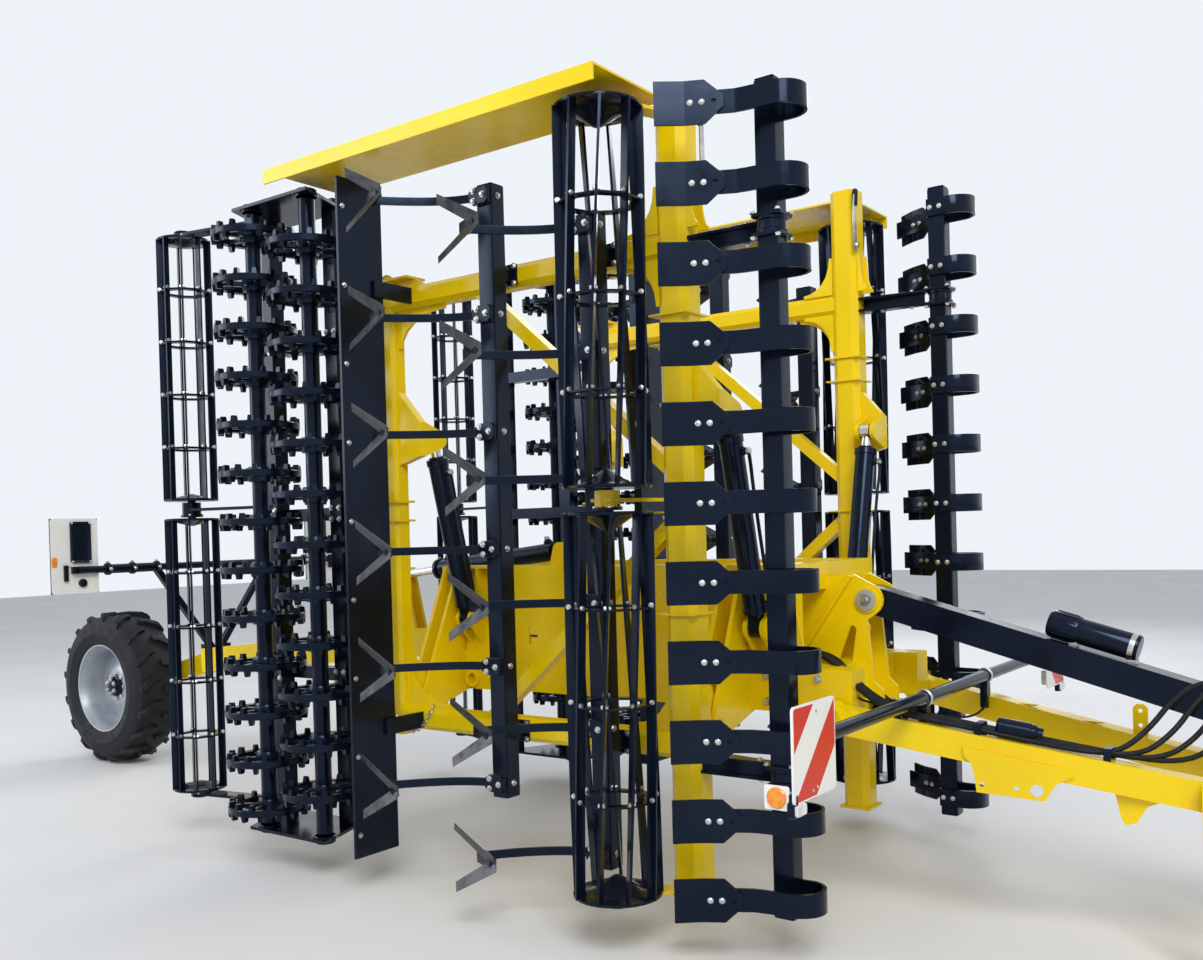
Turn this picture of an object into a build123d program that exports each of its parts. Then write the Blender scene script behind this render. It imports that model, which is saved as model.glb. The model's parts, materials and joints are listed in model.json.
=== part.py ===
from build123d import *
import math
import os

# Folded seedbed compactor, millimetres, X forwards, Y to the left, Z up from the ground.
# Stations along X are measured from the front leveller's bar. The model is moved at the
# end so that X = 0 is halfway between the rear of the wheel and the tip of the towing eye.
# Each wing is drawn for the right side, upright as it is folded, then mirrored.

# Wing frame
WING_LOW = 140.0          # lowest point of the folded wing
WING_HIGH = 3055.0        # highest point of the folded wing
WING_MID_Z = (WING_LOW + WING_HIGH) / 2 + 11.5
FRAME_Y = 760.0           # middle plane of the wing's frame
FRAME_TUBE = 130.0        # front tube, square
TUBE_CHAMFER = 28.0
POST = 90.0               # rear post, square
POST_CHAMFER = 16.0
BEAM = 96.0               # long beams between the tube and the post
BRACE = 55.0
FRONT_TUBE_X = -423.0
REAR_POST_X = -1960.0
BEAM_CORNER = 20.0
UPPER_BEAM_Z = WING_HIGH - 500.0
LOWER_BEAM_Z = WING_LOW + 550.0
POST_LOW = LOWER_BEAM_Z - 80.0
POST_HIGH = UPPER_BEAM_Z + 95.0
GUSSET_T = 14.0
GUSSETS = ((FRONT_TUBE_X - FRAME_TUBE / 2, -1, 190.0, 190.0), (REAR_POST_X + POST / 2, 1, 290.0, 165.0))  # x, way, run, drop
POST_COLLARS = (WING_MID_Z - 38.0, WING_MID_Z + 47.0)

# Wing hinge
HINGE_Y = 620.0
HINGE_Z = 750.0
HINGE_PIN_R = 22.0
HINGE_BOSS_R = 52.0
HINGE_FIT = 0.05
SIDE_GAP = 6.0            # free space on each side of an eye between its ears
EAR = 24.0                # half thickness of a hinge eye
EAR_PLATE = 18.0

# Fold cylinders
BARREL_R = 45.0
ROD_R = 22.5
ROD_FIT = 0.05
EYE_R = 38.0
EYE_W = 44.0
PIN_R = 16.0
CYL_BASE_Y = 450.0        # lower pin, on the centre frame
CYL_BASE_Z = 1105.0
CYL_TOP_Y = 650.0         # rod's pin, on the folded wing
CYL_TOP_Z = 1930.0
BARREL_START = 64.0       # from the lower pin to the end of the barrel
CYL_STATIONS = (("rear", -1830.0), ("front", -300.0))

# Front leveller
LEVEL_Y = 826.0
LEVEL_BAR = 80.0
PADDLES = 11
PADDLE_TOP_Z = WING_HIGH - 109.0
PADDLE_PITCH = (PADDLE_TOP_Z - WING_LOW - 86.0) / (PADDLES - 1)
PADDLE_H = 150.0
PADDLE_L = 235.0
PADDLE_BEND = 165.0       # from the strip's end to the bend line
PADDLE_T = 8.0
SPRING_H = 80.0
SPRING_T = 12.0
SPRING_R = 84.0
SPRING_BACK = 300.0
SPRING_OUT = 262.0
LEVEL_ARM_GAPS = (1.5, 8.5)                            # counted in paddles from the top

# Front bar roller, two sections
BAR_ROLLER_X = -546.0
BAR_ROLLER_Y = 1084.0
BAR_ROLLER_R = 162.0
BAR_ROLLER_BARS = 9
BAR_ROLLER_TWIST = 30.0
BAR_ROLLER_SPANS = (
    ("lower", WING_LOW + 60.0, WING_MID_Z - 43.0),
    ("upper", WING_MID_Z + 43.0, WING_HIGH - 51.0),
)

# Rear string roller, two sections
STRING_X = -3231.0
STRING_Y = 962.0
STRING_R = 132.0
STRING_RODS = 11
STRING_ROD_R = 8.0
STRING_SPANS = (
    ("lower", WING_LOW + 115.0, WING_MID_Z + 8.0),
    ("upper", WING_MID_Z + 97.0, WING_HIGH - 37.0),
)
ROLLER_END_T = 10.0
STUB_R = 20.0              # stub axles of all the rollers
STUB_FIT = 0.05
HOUSING_R = 46.0           # bearing housings on the arms
HOUSING_GAP = 8.0          # from a roller's end to its bearing housing
HOUSING_H = 30.0

# Crosskill rollers
KILL_Y = 1090.0
KILL_R = 184.0
KILL_DISC_R = 170.0
KILL_ROWS = (("rear", -2505.0, 13, 0.0), ("front", -2125.0, 12, 0.5))
KILL_DISC_T = 12.0
KILL_LUGS = 12
KILL_LUG = (36.0, 24.0, 52.0)                          # deep, wide, long
KILL_SHAFT_R = 36.0
KILL_SHAFT_Z = (WING_LOW + 65.0, WING_HIGH - 70.0)
KILL_FIRST_Z = KILL_SHAFT_Z[0] + 77.0
KILL_PITCH = (KILL_SHAFT_Z[1] - 99.0 - KILL_FIRST_Z) / 12

# Spring tines with sweeps
TINE_ROWS = (                                          # station, lowest, highest
    (-1220.0, WING_LOW + 355.0, WING_HIGH - 200.0),
    (-715.0, WING_LOW + 144.0, WING_HIGH - 405.0),
)
TINE_BAR = 80.0
TINE_BAR_Y = 905.0
TINES = 6
TINE_OUT = 300.0           # the tine's end, outboard of its bar
TINE_BACK = 385.0          # and behind it
TINE_W = 32.0
TINE_T = 12.0
TINE_STEPS = 5
SWEEP_APEX = (-252.0, -357.0)   # from the bar's middle
SWEEP_HALF = 122.0
SWEEP_BACK = 205.0
SWEEP_W = 42.0
SWEEP_T = 7.0
SWEEP_TILT = 30.0

# Rear levelling board
BOARD_X = -1800.0
BOARD_Y0 = 965.0
BOARD_Y1 = 1205.0
BOARD_T = 12.0

# Black carrier of the rear rollers
CARRIER_TUBE = 76.0
CARRIER_Y = 850.0
CARRIER_XS = (-2230.0, -2690.0)
CARRIER_ARMS_Z = (UPPER_BEAM_Z - 135.0, WING_MID_Z + 4.5, LOWER_BEAM_Z + 170.0)
ROLLER_PLATE_T = 12.0

# Centre frame
CENTRE_REAR_X = -2050.0
CENTRE_FRONT_X = 60.0
CENTRE_TOP_FRONT_X = -180.0    # the upper beams end behind the tower
CENTRE_Y = 330.0
CENTRE_BEAM_W = 120.0
CENTRE_LOW_Z = (775.0, 950.0)
CENTRE_UP_Z = (1240.0, 1350.0)

# Rear transport wheel and its lifting arm
ARM_PIVOT_X = -2250.0
ARM_PIVOT_Z = 960.0
ARM_W = 150.0
ARM_H = 150.0
ARM_KNEE_X = -4500.0
ARM_KNEE_Z = 745.0
ARM_SIDE_Y = 265.0
LIFT_BASE = (-1600.0, 1412.0)
LIFT_LUG = (-2720.0, 1290.0)
LIFT_RETRACT = 156.0       # the rod goes in by this much as the arm lifts the wheel
WHEEL_X = -5550.0
WHEEL_R = 515.0
WHEEL_W = 340.0
RIM_R = 290.0
HUB_R = 85.0
AXLE_R = 30.0
TYRE_LUGS = 15
TYRE_LUG = (150.0, 30.0, 40.0)   # long, wide, deep
LAMP_BAR_X = -4450.0
LAMP_BAR_Z = 1355.0
LAMP_TUBE_R = 21.0
LAMP_BOARD = (282.0, 430.0)
LAMP_BOARD_Y = 1040.0      # outer edge of a lamp board

# Drawbar
EYE_X = 2250.0             # middle of the towing eye
EYE_Z = 450.0
EYE_BORE_R = 25.0
EYE_RING_R = 55.0
EYE_T = 42.0
DRAWBAR_W = 80.0
DRAWBAR_H = 100.0
DRAWBAR_REAR = (0.0, 450.0, 782.0)
DRAWBAR_BOSS_R = 58.0
DRAWBAR_NOSE_X = 2010.0
TOWER_PIN = (-5.0, 1196.0)
TOWER_T = 16.0
STRUT = (110.0, 110.0)
NOSE_PIN = (DRAWBAR_NOSE_X - 115, EYE_Z + 207.7)
NOSE_PIN_R = 20.0
STAND_X = 1250.0
STAND_TUBE = 60.0
STAND_PIVOT_Z = 592.0
STAND_FOOT = 150.0
STAND_HEEL = 15.0          # the foot's middle is this far behind the leg
WARN_BAR_X = 320.0
WARN_BAR_Z = 860.0
WARN_BOARD = 282.0
WARN_BOARD_Y = 1450.0      # outer edge of a warning board

REAR_END_X = WHEEL_X - WHEEL_R
FRONT_END_X = EYE_X + EYE_RING_R
MID_X = (REAR_END_X + FRONT_END_X) / 2

os.makedirs("parts", exist_ok=True)


def block(x0, x1, y0, y1, z0, z1):
    size = (abs(x1 - x0), abs(y1 - y0), abs(z1 - z0))
    return Pos((x0 + x1) / 2, (y0 + y1) / 2, (z0 + z1) / 2) * Box(*size)


def rod(start, end, radius):
    a = Vector(*start)
    b = Vector(*end)
    plane = Plane(origin=a, z_dir=(b - a).normalized())
    return extrude(plane * Circle(radius), (b - a).length)


def bar(start, end, width, height, up=(0, 0, 1)):
    """A square bar from start to end; height is measured along up."""
    a = Vector(*start)
    b = Vector(*end)
    run = (b - a).normalized()
    across = run.cross(Vector(*up)).normalized()
    plane = Plane(origin=a, x_dir=across, z_dir=run)
    return extrude(plane * Rectangle(width, height), (b - a).length)


def plate_z(points, z0, z1):
    """A plate whose outline lies in the XY plane."""
    face = make_face(Polyline([(x, y, z0) for x, y in points], close=True))
    return extrude(face, z1 - z0, dir=(0, 0, 1))


def plate_x(points, x0, x1):
    """A plate whose outline lies in the YZ plane."""
    face = make_face(Polyline([(x0, y, z) for y, z in points], close=True))
    return extrude(face, x1 - x0, dir=(1, 0, 0))


def plate_y(points, y0, y1):
    """A plate whose outline lies in the XZ plane."""
    face = make_face(Polyline([(x, y0, z) for x, z in points], close=True))
    return extrude(face, y1 - y0, dir=(0, 1, 0))


def joined(pieces):
    whole = pieces[0]
    for piece in pieces[1:]:
        whole = whole + piece
    return whole


def save(name, shape):
    export_step(Pos(-MID_X, 0, 0) * shape, "parts/" + name + ".step")


def save_pair(name, shape):
    save(name + "_right", shape)
    save(name + "_left", mirror(shape, about=Plane.XZ))


def arc_points(centre, radius, start, end, steps):
    """Points along an arc, angles in degrees, with both ends."""
    points = []
    for i in range(steps + 1):
        angle = math.radians(start + (end - start) * i / steps)
        points.append((centre[0] + radius * math.cos(angle), centre[1] + radius * math.sin(angle)))
    return points


def ribbon(points, half):
    """Outline of a strip that follows points, with half its thickness on each side."""
    left = []
    right = []
    for i, (x, y) in enumerate(points):
        before = points[max(i - 1, 0)]
        after = points[min(i + 1, len(points) - 1)]
        run = math.dist(before, after)
        across = ((before[1] - after[1]) / run * half, (after[0] - before[0]) / run * half)
        left.append((x + across[0], y + across[1]))
        right.append((x - across[0], y - across[1]))
    return left + right[::-1]


def prism(x, y, z0, z1, radius, sides, turn=0.0):
    """Upright many-sided prism."""
    plane = Plane(origin=(x, y, z0))
    return extrude(plane * Rot(0, 0, turn) * RegularPolygon(radius, sides), z1 - z0)


def chamfered_bar(start, end, size, corner):
    """A square bar with cut corners."""
    a = Vector(*start)
    b = Vector(*end)
    run = (b - a).normalized()
    across = run.cross(Vector(0, 0, 1)).normalized()
    plane = Plane(origin=a, x_dir=across, z_dir=run)
    h = size / 2
    k = h - corner
    outline = [(-k, -h), (k, -h), (h, -k), (h, k), (k, h), (-k, h), (-h, k), (-h, -k)]
    return extrude(plane * make_face(Polyline(outline, close=True)), (b - a).length)


def square_tube(x, y, z0, z1, size, corner):
    tube = block(x - size / 2, x + size / 2, y - size / 2, y + size / 2, z0, z1)
    return chamfer(tube.edges().filter_by(Axis.Z), corner)


def ears_x(x, outline):
    """Two plates either side of an eye that turns about an axis along X."""
    near = EYE_W / 2 + SIDE_GAP
    far = near + EAR_PLATE
    return plate_x(outline, x - far, x - near) + plate_x(outline, x + near, x + far)


def wing_frame():
    y = -FRAME_Y
    front = square_tube(FRONT_TUBE_X, y, WING_LOW, WING_HIGH + 30, FRAME_TUBE, TUBE_CHAMFER)
    post = square_tube(REAR_POST_X, y, POST_LOW, POST_HIGH, POST, POST_CHAMFER)
    pieces = [front, post] + post_fittings(y)
    foot = FRAME_TUBE / 2 + 10
    pieces.append(block(FRONT_TUBE_X - foot, FRONT_TUBE_X + foot, y - foot, y + foot, WING_LOW, WING_LOW + 12))
    for z in (UPPER_BEAM_Z, LOWER_BEAM_Z):
        pieces.append(chamfered_bar((REAR_POST_X, y, z), (FRONT_TUBE_X, y, z), BEAM, BEAM_CORNER))
        inward = -1 if z == UPPER_BEAM_Z else 1
        for x, way, run, drop in GUSSETS:
            outline = gusset_outline(x, z + inward * BEAM / 2, way * run, inward * drop)
            pieces.append(plate_y(outline, y - GUSSET_T / 2, y + GUSSET_T / 2))
    knee_z = (UPPER_BEAM_Z + LOWER_BEAM_Z) / 2
    top = (REAR_POST_X + 520, y, UPPER_BEAM_Z)
    bottom = (REAR_POST_X + 520, y, LOWER_BEAM_Z)
    pieces.append(bar(top, (FRONT_TUBE_X, y, knee_z + 60), BRACE, BRACE, (0, 1, 0)))
    pieces.append(bar(bottom, (FRONT_TUBE_X, y, knee_z - 60), BRACE, BRACE, (0, 1, 0)))
    for x, half in ((REAR_POST_X, POST / 2), (FRONT_TUBE_X, FRAME_TUBE / 2)):
        pieces.append(hinge_arm(x, y + half))
    for _, x in CYL_STATIONS:
        pieces.append(cylinder_tie(x))
    return joined(pieces) + roller_bracket()


def gusset_outline(x, z, run, drop):
    """Corner plate with a hollow curved edge; run along the beam, drop along the post."""
    tip = 18.0
    way_x = math.copysign(1, run)
    way_z = math.copysign(1, drop)
    outline = [(x - way_x * 2, z - way_z * 2), (x + run, z - way_z * 2), (x + run, z + way_z * tip)]
    for i in range(1, 6):
        angle = math.radians(90 * i / 6)
        hollow_x = run * (1 - math.sin(angle)) * 0.9
        hollow_z = tip + (abs(drop) - tip) * (1 - math.cos(angle))
        outline.append((x + hollow_x + way_x * tip, z + way_z * hollow_z))
    return outline + [(x + way_x * tip, z + drop), (x - way_x * 2, z + drop)]


def post_fittings(y):
    """Cap, lifting eye, two collars and the stiffener under the cap of the rear post."""
    x = REAR_POST_X
    half = POST / 2 + 12
    pieces = [block(x - half, x + 160, y - half, y + half, POST_HIGH - 10, POST_HIGH)]
    rib = [(x + POST / 2 - 2, POST_HIGH - 9), (x + POST / 2 - 2, UPPER_BEAM_Z), (x + 250, UPPER_BEAM_Z + 40), (x + 158, POST_HIGH - 9)]
    pieces.append(plate_y(rib, y - GUSSET_T / 2, y + GUSSET_T / 2))
    eye = [(px, pz) for px, pz in arc_points((x - 25, POST_HIGH - 1), 38, 0, 180, 6)]
    hole = [(px, pz) for px, pz in arc_points((x - 25, POST_HIGH + 6), 18, 0, 360, 8)][:-1]
    pieces.append(plate_y(eye, y - 6, y + 6) - plate_y(hole, y - 6, y + 6))
    for z in POST_COLLARS:
        pieces.append(block(x - half, x + half, y - half, y + half, z - 5, z + 5))
    return pieces


def hinge_arm(x, face_y):
    """The wing's arm, inboard of its frame, with the bushed eye on the hinge pin."""
    outline = [
        (face_y - 2, HINGE_Z + 240),
        (-HINGE_Y + HINGE_BOSS_R * 0.7, HINGE_Z + HINGE_BOSS_R * 0.7),
        (-HINGE_Y + HINGE_BOSS_R * 0.7, HINGE_Z - HINGE_BOSS_R * 0.7),
        (face_y - 2, HINGE_Z - 120),
    ]
    arm = plate_x(outline, x - EAR, x + EAR)
    boss = rod((x - EAR, -HINGE_Y, HINGE_Z), (x + EAR, -HINGE_Y, HINGE_Z), HINGE_BOSS_R)
    bore = rod((x - EAR, -HINGE_Y, HINGE_Z), (x + EAR, -HINGE_Y, HINGE_Z), HINGE_PIN_R + HINGE_FIT)
    return arm + boss - bore


def cylinder_tie(x):
    """Tapered cross piece from the post or the front tube to a fold cylinder's lugs."""
    post_x = REAR_POST_X if abs(x - REAR_POST_X) < abs(x - FRONT_TUBE_X) else FRONT_TUBE_X
    way = 1 if x > post_x else -1
    far = x + way * (EYE_W / 2 + SIDE_GAP + EAR_PLATE)
    outline = [
        (post_x, CYL_TOP_Z + 215),
        (post_x + way * 50, CYL_TOP_Z + 215),
        (far, CYL_TOP_Z + 75),
        (far, CYL_TOP_Z - 75),
        (post_x + way * 45, CYL_TOP_Z - 110),
        (post_x, CYL_TOP_Z - 110),
    ]
    return plate_y(outline, -FRAME_Y - 20, -FRAME_Y + 20)


def rod_lugs():
    """Convex plates either side of each fold cylinder's rod eye, welded to the tie."""
    outline = [(-FRAME_Y + 20, CYL_TOP_Z + 75)]
    outline += arc_points((-CYL_TOP_Y, CYL_TOP_Z), EYE_R + 2, 80, -80, 6)
    outline += [(-FRAME_Y + 20, CYL_TOP_Z - 75)]
    return joined([ears_x(x, outline) for _, x in CYL_STATIONS])


def roller_bracket():
    """Arms from the front tube to the ends and the middle of the front roller."""
    gap_z = (BAR_ROLLER_SPANS[0][2] + BAR_ROLLER_SPANS[1][1]) / 2
    low = BAR_ROLLER_SPANS[0][1] - HOUSING_GAP - HOUSING_H / 2
    high = BAR_ROLLER_SPANS[1][2] + HOUSING_GAP + HOUSING_H / 2
    pieces, holes = end_housings(BAR_ROLLER_X, -BAR_ROLLER_Y, BAR_ROLLER_SPANS)
    for z in (low, gap_z, high):
        outline = [
            (FRONT_TUBE_X - 30, -FRAME_Y),
            (FRONT_TUBE_X + 40, -FRAME_Y),
            (BAR_ROLLER_X + 45, -BAR_ROLLER_Y - 40),
            (BAR_ROLLER_X - 45, -BAR_ROLLER_Y - 40),
        ]
        pieces.append(plate_z(outline, z - ROLLER_PLATE_T / 2, z + ROLLER_PLATE_T / 2))
    return joined(pieces) - holes


def wing_guard():
    """Bent plate over the outer end of the wing, from the front roller to the rear rollers."""
    inner = -FRAME_Y - FRAME_TUBE / 2
    outer = -BAR_ROLLER_Y - BAR_ROLLER_R - 24
    high = WING_HIGH + 26
    front = BAR_ROLLER_X + 120
    rear = KILL_ROWS[1][1] - 60
    flat = plate_z([(front, inner), (front, outer), (rear, outer), (rear, inner)], high - 8, high)
    lip = block(rear, front, outer, outer + 8, high - 60, high)
    return flat + lip


def leveller():
    y = -LEVEL_Y
    half = LEVEL_BAR / 2
    pieces = [square_tube(0, y, WING_LOW, PADDLE_TOP_Z + 95, LEVEL_BAR, 10)]
    strip = spring_strip(y)
    for i in range(PADDLES):
        z = PADDLE_TOP_Z - i * PADDLE_PITCH
        pieces.append(Pos(0, 0, z) * strip)
    # arms to the wing's front tube, each with a collar round the bar
    tube_face = FRONT_TUBE_X + FRAME_TUBE / 2
    collar = half + 14
    for gap in LEVEL_ARM_GAPS:
        z = PADDLE_TOP_Z - gap * PADDLE_PITCH
        pieces.append(block(-collar, collar, y - collar, y + collar, z - 40, z + 40))
        pieces.append(block(tube_face, collar, y + collar - 14, y + collar, z - 40, z + 40))
    return joined(pieces)


def spring_strip(y):
    """One C spring round the front of the bar, with its bent paddle behind and outboard."""
    turn_x = LEVEL_BAR / 2 + 25
    inner_y = y + LEVEL_BAR / 2 + SPRING_T / 2
    outer_y = inner_y - 2 * SPRING_R
    bend = (-60.0, outer_y - 14)
    tip = (-SPRING_BACK, y - SPRING_OUT)
    path = [(-LEVEL_BAR / 2, inner_y), (LEVEL_BAR / 2, inner_y)]
    path += arc_points((turn_x, inner_y - SPRING_R), SPRING_R, 90, -90, 8)
    straight = (bend[0] * 0.8 + tip[0] * 0.2, bend[1] * 0.8 + tip[1] * 0.2)
    path += [bend, straight, tip]
    strip = plate_z(ribbon(path, SPRING_T / 2), -SPRING_H / 2, SPRING_H / 2)
    run = (Vector(*tip) - Vector(*bend)).normalized()
    out = Vector(run.Y, -run.X)
    if out.Y > 0:
        out = -out
    origin = Vector(*tip) + out * (SPRING_T / 2)
    face_plane = Plane(origin=(origin.X, origin.Y, 0), x_dir=-run, z_dir=out)
    half = PADDLE_H / 2
    side = [(0, 0), (PADDLE_BEND, 0), (PADDLE_L, 16), (PADDLE_L, 16 + PADDLE_T), (PADDLE_BEND, PADDLE_T), (0, PADDLE_T)]
    front = [(0, -half), (PADDLE_BEND, -half), (PADDLE_L, -18), (PADDLE_L, 18), (PADDLE_BEND, half), (0, half)]
    paddle = plate_y(side, -half, half) & plate_z(front, -10, 40)
    return strip + face_plane.location * paddle


def stub_axles(x, y, low, high):
    """Short axles out of both ends of a roller, into its bearing housings."""
    reach = HOUSING_GAP + HOUSING_H - 2
    return [rod((x, y, low - reach), (x, y, low), STUB_R), rod((x, y, high), (x, y, high + reach), STUB_R)]


def end_housings(x, y, spans):
    """Bearing housings at the ends of one or two roller sections, and holes for the stubs."""
    low = spans[0][1]
    high = spans[-1][2]
    ends = [(low - HOUSING_GAP - HOUSING_H, low - HOUSING_GAP), (high + HOUSING_GAP, high + HOUSING_GAP + HOUSING_H)]
    if len(spans) == 2:
        ends.append((spans[0][2] + HOUSING_GAP, spans[1][1] - HOUSING_GAP))
    housings = [prism(x, y, z0, z1, HOUSING_R, 12) for z0, z1 in ends]
    holes = rod((x, y, low - 200), (x, y, high + 200), STUB_R + STUB_FIT)
    return housings, holes


def bar_roller(low, high):
    """One section: straight flat bars set at an angle round dished end discs and inner rings."""
    x = BAR_ROLLER_X
    y = -BAR_ROLLER_Y
    pieces = stub_axles(x, y, low, high)
    for z, way in ((low, 1), (high, -1)):
        inner = z + way * ROLLER_END_T
        pieces.append(prism(x, y, min(z, inner), max(z, inner), BAR_ROLLER_R - 6, 2 * BAR_ROLLER_BARS))
        cone_plane = Plane(origin=(x, y, inner), z_dir=(0, 0, way))
        base = cone_plane * RegularPolygon(110, BAR_ROLLER_BARS)
        top = cone_plane.offset(60) * RegularPolygon(45, BAR_ROLLER_BARS)
        pieces.append(loft([base, top]))
    ring_plane = Plane(origin=(x, y, 0))
    ring = RegularPolygon(BAR_ROLLER_R * 0.86, BAR_ROLLER_BARS) - RegularPolygon(BAR_ROLLER_R * 0.66, BAR_ROLLER_BARS)
    for i in range(1, 4):
        z = low + (high - low) * i / 4
        turn = BAR_ROLLER_TWIST * i / 4
        pieces.append(extrude(Plane(origin=(x, y, z - 4)) * Rot(0, 0, turn) * ring, 8))
    for i in range(BAR_ROLLER_BARS):
        angle = 2 * math.pi * i / BAR_ROLLER_BARS
        swing = math.radians(BAR_ROLLER_TWIST)
        r = BAR_ROLLER_R - 14
        start = (x + r * math.cos(angle), y + r * math.sin(angle), low)
        end = (x + r * math.cos(angle + swing), y + r * math.sin(angle + swing), high)
        middle = angle + swing / 2
        pieces.append(bar(start, end, 10, 36, (math.cos(middle), math.sin(middle), 0)))
    return joined(pieces)


def string_roller(low, high):
    """One section: thin rods round flat rings and end discs."""
    x = STRING_X
    y = -STRING_Y
    pieces = stub_axles(x, y, low, high)
    for z0, z1 in ((low, low + ROLLER_END_T), (high - ROLLER_END_T, high)):
        pieces.append(prism(x, y, z0, z1, STRING_R - 2, STRING_RODS))
    ring = RegularPolygon(STRING_R - 8, STRING_RODS) - RegularPolygon(STRING_R - 34, STRING_RODS)
    for i in range(1, 5):
        z = low + (high - low) * i / 5
        pieces.append(extrude(Plane(origin=(x, y, z - 3)) * ring, 6))
    for i in range(STRING_RODS):
        angle = 2 * math.pi * i / STRING_RODS
        r = STRING_R - STRING_ROD_R
        plane = Plane(origin=(x + r * math.cos(angle), y + r * math.sin(angle), low))
        pieces.append(extrude(plane * Rot(0, 0, 18) * RegularPolygon(STRING_ROD_R, 5), high - low))
    return joined(pieces)


def crosskill_row(x, rings, stagger):
    """Shaft with lugged rings; the two rows interleave by half a pitch."""
    y = -KILL_Y
    low, high = KILL_SHAFT_Z
    row = joined([prism(x, y, low, high, KILL_SHAFT_R, 8)] + stub_axles(x, y, low, high))
    ring = kill_ring()
    for i in range(rings):
        row = row + Pos(x, y, KILL_FIRST_Z + (i + stagger) * KILL_PITCH) * ring
    return row


def kill_ring():
    """Thin disc with square lugs that stand out from both faces at the rim."""
    deep, wide, long = KILL_LUG
    disc = prism(0, 0, -KILL_DISC_T / 2, KILL_DISC_T / 2, KILL_DISC_R, KILL_LUGS)
    lug = block(KILL_R - deep, KILL_R, -wide / 2, wide / 2, -long / 2, long / 2)
    lugs = [Rot(0, 0, 360 * i / KILL_LUGS) * lug for i in range(KILL_LUGS)]
    return joined([disc] + lugs)


def tine_bars():
    """Two box bars, each with spring tines that end in duck-foot sweeps."""
    pieces = []
    half = TINE_BAR / 2
    for x, lowest, highest in TINE_ROWS:
        row = block(x - half, x + half, -TINE_BAR_Y - half, -TINE_BAR_Y + half, lowest - 60, highest + 50)
        tine = tine_with_sweep(x)
        for i in range(TINES):
            z = lowest + (highest - lowest) * i / (TINES - 1)
            row = row + Pos(0, 0, z) * tine
        # arms that tie the bar to the wing's beams
        for z in (UPPER_BEAM_Z, LOWER_BEAM_Z):
            row = row + block(x - 30, x + 30, -TINE_BAR_Y + half, -FRAME_Y - BEAM / 2, z - 28, z + 28)
        pieces.append(row)
    return joined(pieces)


def tine_with_sweep(x):
    """A spring tine that bows back and out, its clamp, and the sweep at its end."""
    face_y = -TINE_BAR_Y - TINE_BAR / 2
    start = (x - 50, face_y - TINE_T / 2)
    end = (x - TINE_BACK, -TINE_BAR_Y - TINE_OUT)
    path = [(x + 24, start[1])]
    for i in range(TINE_STEPS + 1):
        share = i / TINE_STEPS
        path.append((start[0] + (end[0] - start[0]) * share, start[1] + (end[1] - start[1]) * share ** 1.7))
    tine = plate_z(ribbon(path, TINE_T / 2), -TINE_W / 2, TINE_W / 2)
    clamp = block(x - 60, x + 34, face_y - TINE_T - 14, face_y, -TINE_W / 2 - 12, TINE_W / 2 + 12)
    apex = Vector(x + SWEEP_APEX[0], -TINE_BAR_Y + SWEEP_APEX[1], 0)
    tilt = math.radians(SWEEP_TILT)
    blades = []
    for way in (-1, 1):
        end_point = apex + Vector(-SWEEP_BACK, 0, way * SWEEP_HALF)
        run = (end_point - apex).normalized()
        inside = Vector(-abs(run.Z), 0, -way * abs(run.X))
        lifted = inside * math.cos(tilt) + Vector(0, 1, 0) * math.sin(tilt)
        blades.append(bar(tuple(apex), tuple(end_point), SWEEP_T, SWEEP_W, tuple(lifted)))
    stem = bar((end[0] - 8, end[1] + 4, 0), tuple(apex + Vector(-14, 6, 0)), 14, 44, (0, 0, 1))
    return tine + clamp + stem + blades[0] + blades[1]


def levelling_board():
    low = WING_LOW + 25
    high = WING_HIGH - 60
    board = block(BOARD_X - BOARD_T / 2, BOARD_X + BOARD_T / 2, -BOARD_Y1, -BOARD_Y0, low, high)
    board = board + block(BOARD_X - 46, BOARD_X, -BOARD_Y0 - 8, -BOARD_Y0, low, high)
    for z in (UPPER_BEAM_Z, LOWER_BEAM_Z):
        foot = -FRAME_Y - BEAM / 2
        arm = block(BOARD_X + BOARD_T / 2, BOARD_X + BOARD_T / 2 + 14, -BOARD_Y0 - 60, foot, z - 35, z + 35)
        board = board + arm
    return board


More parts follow.
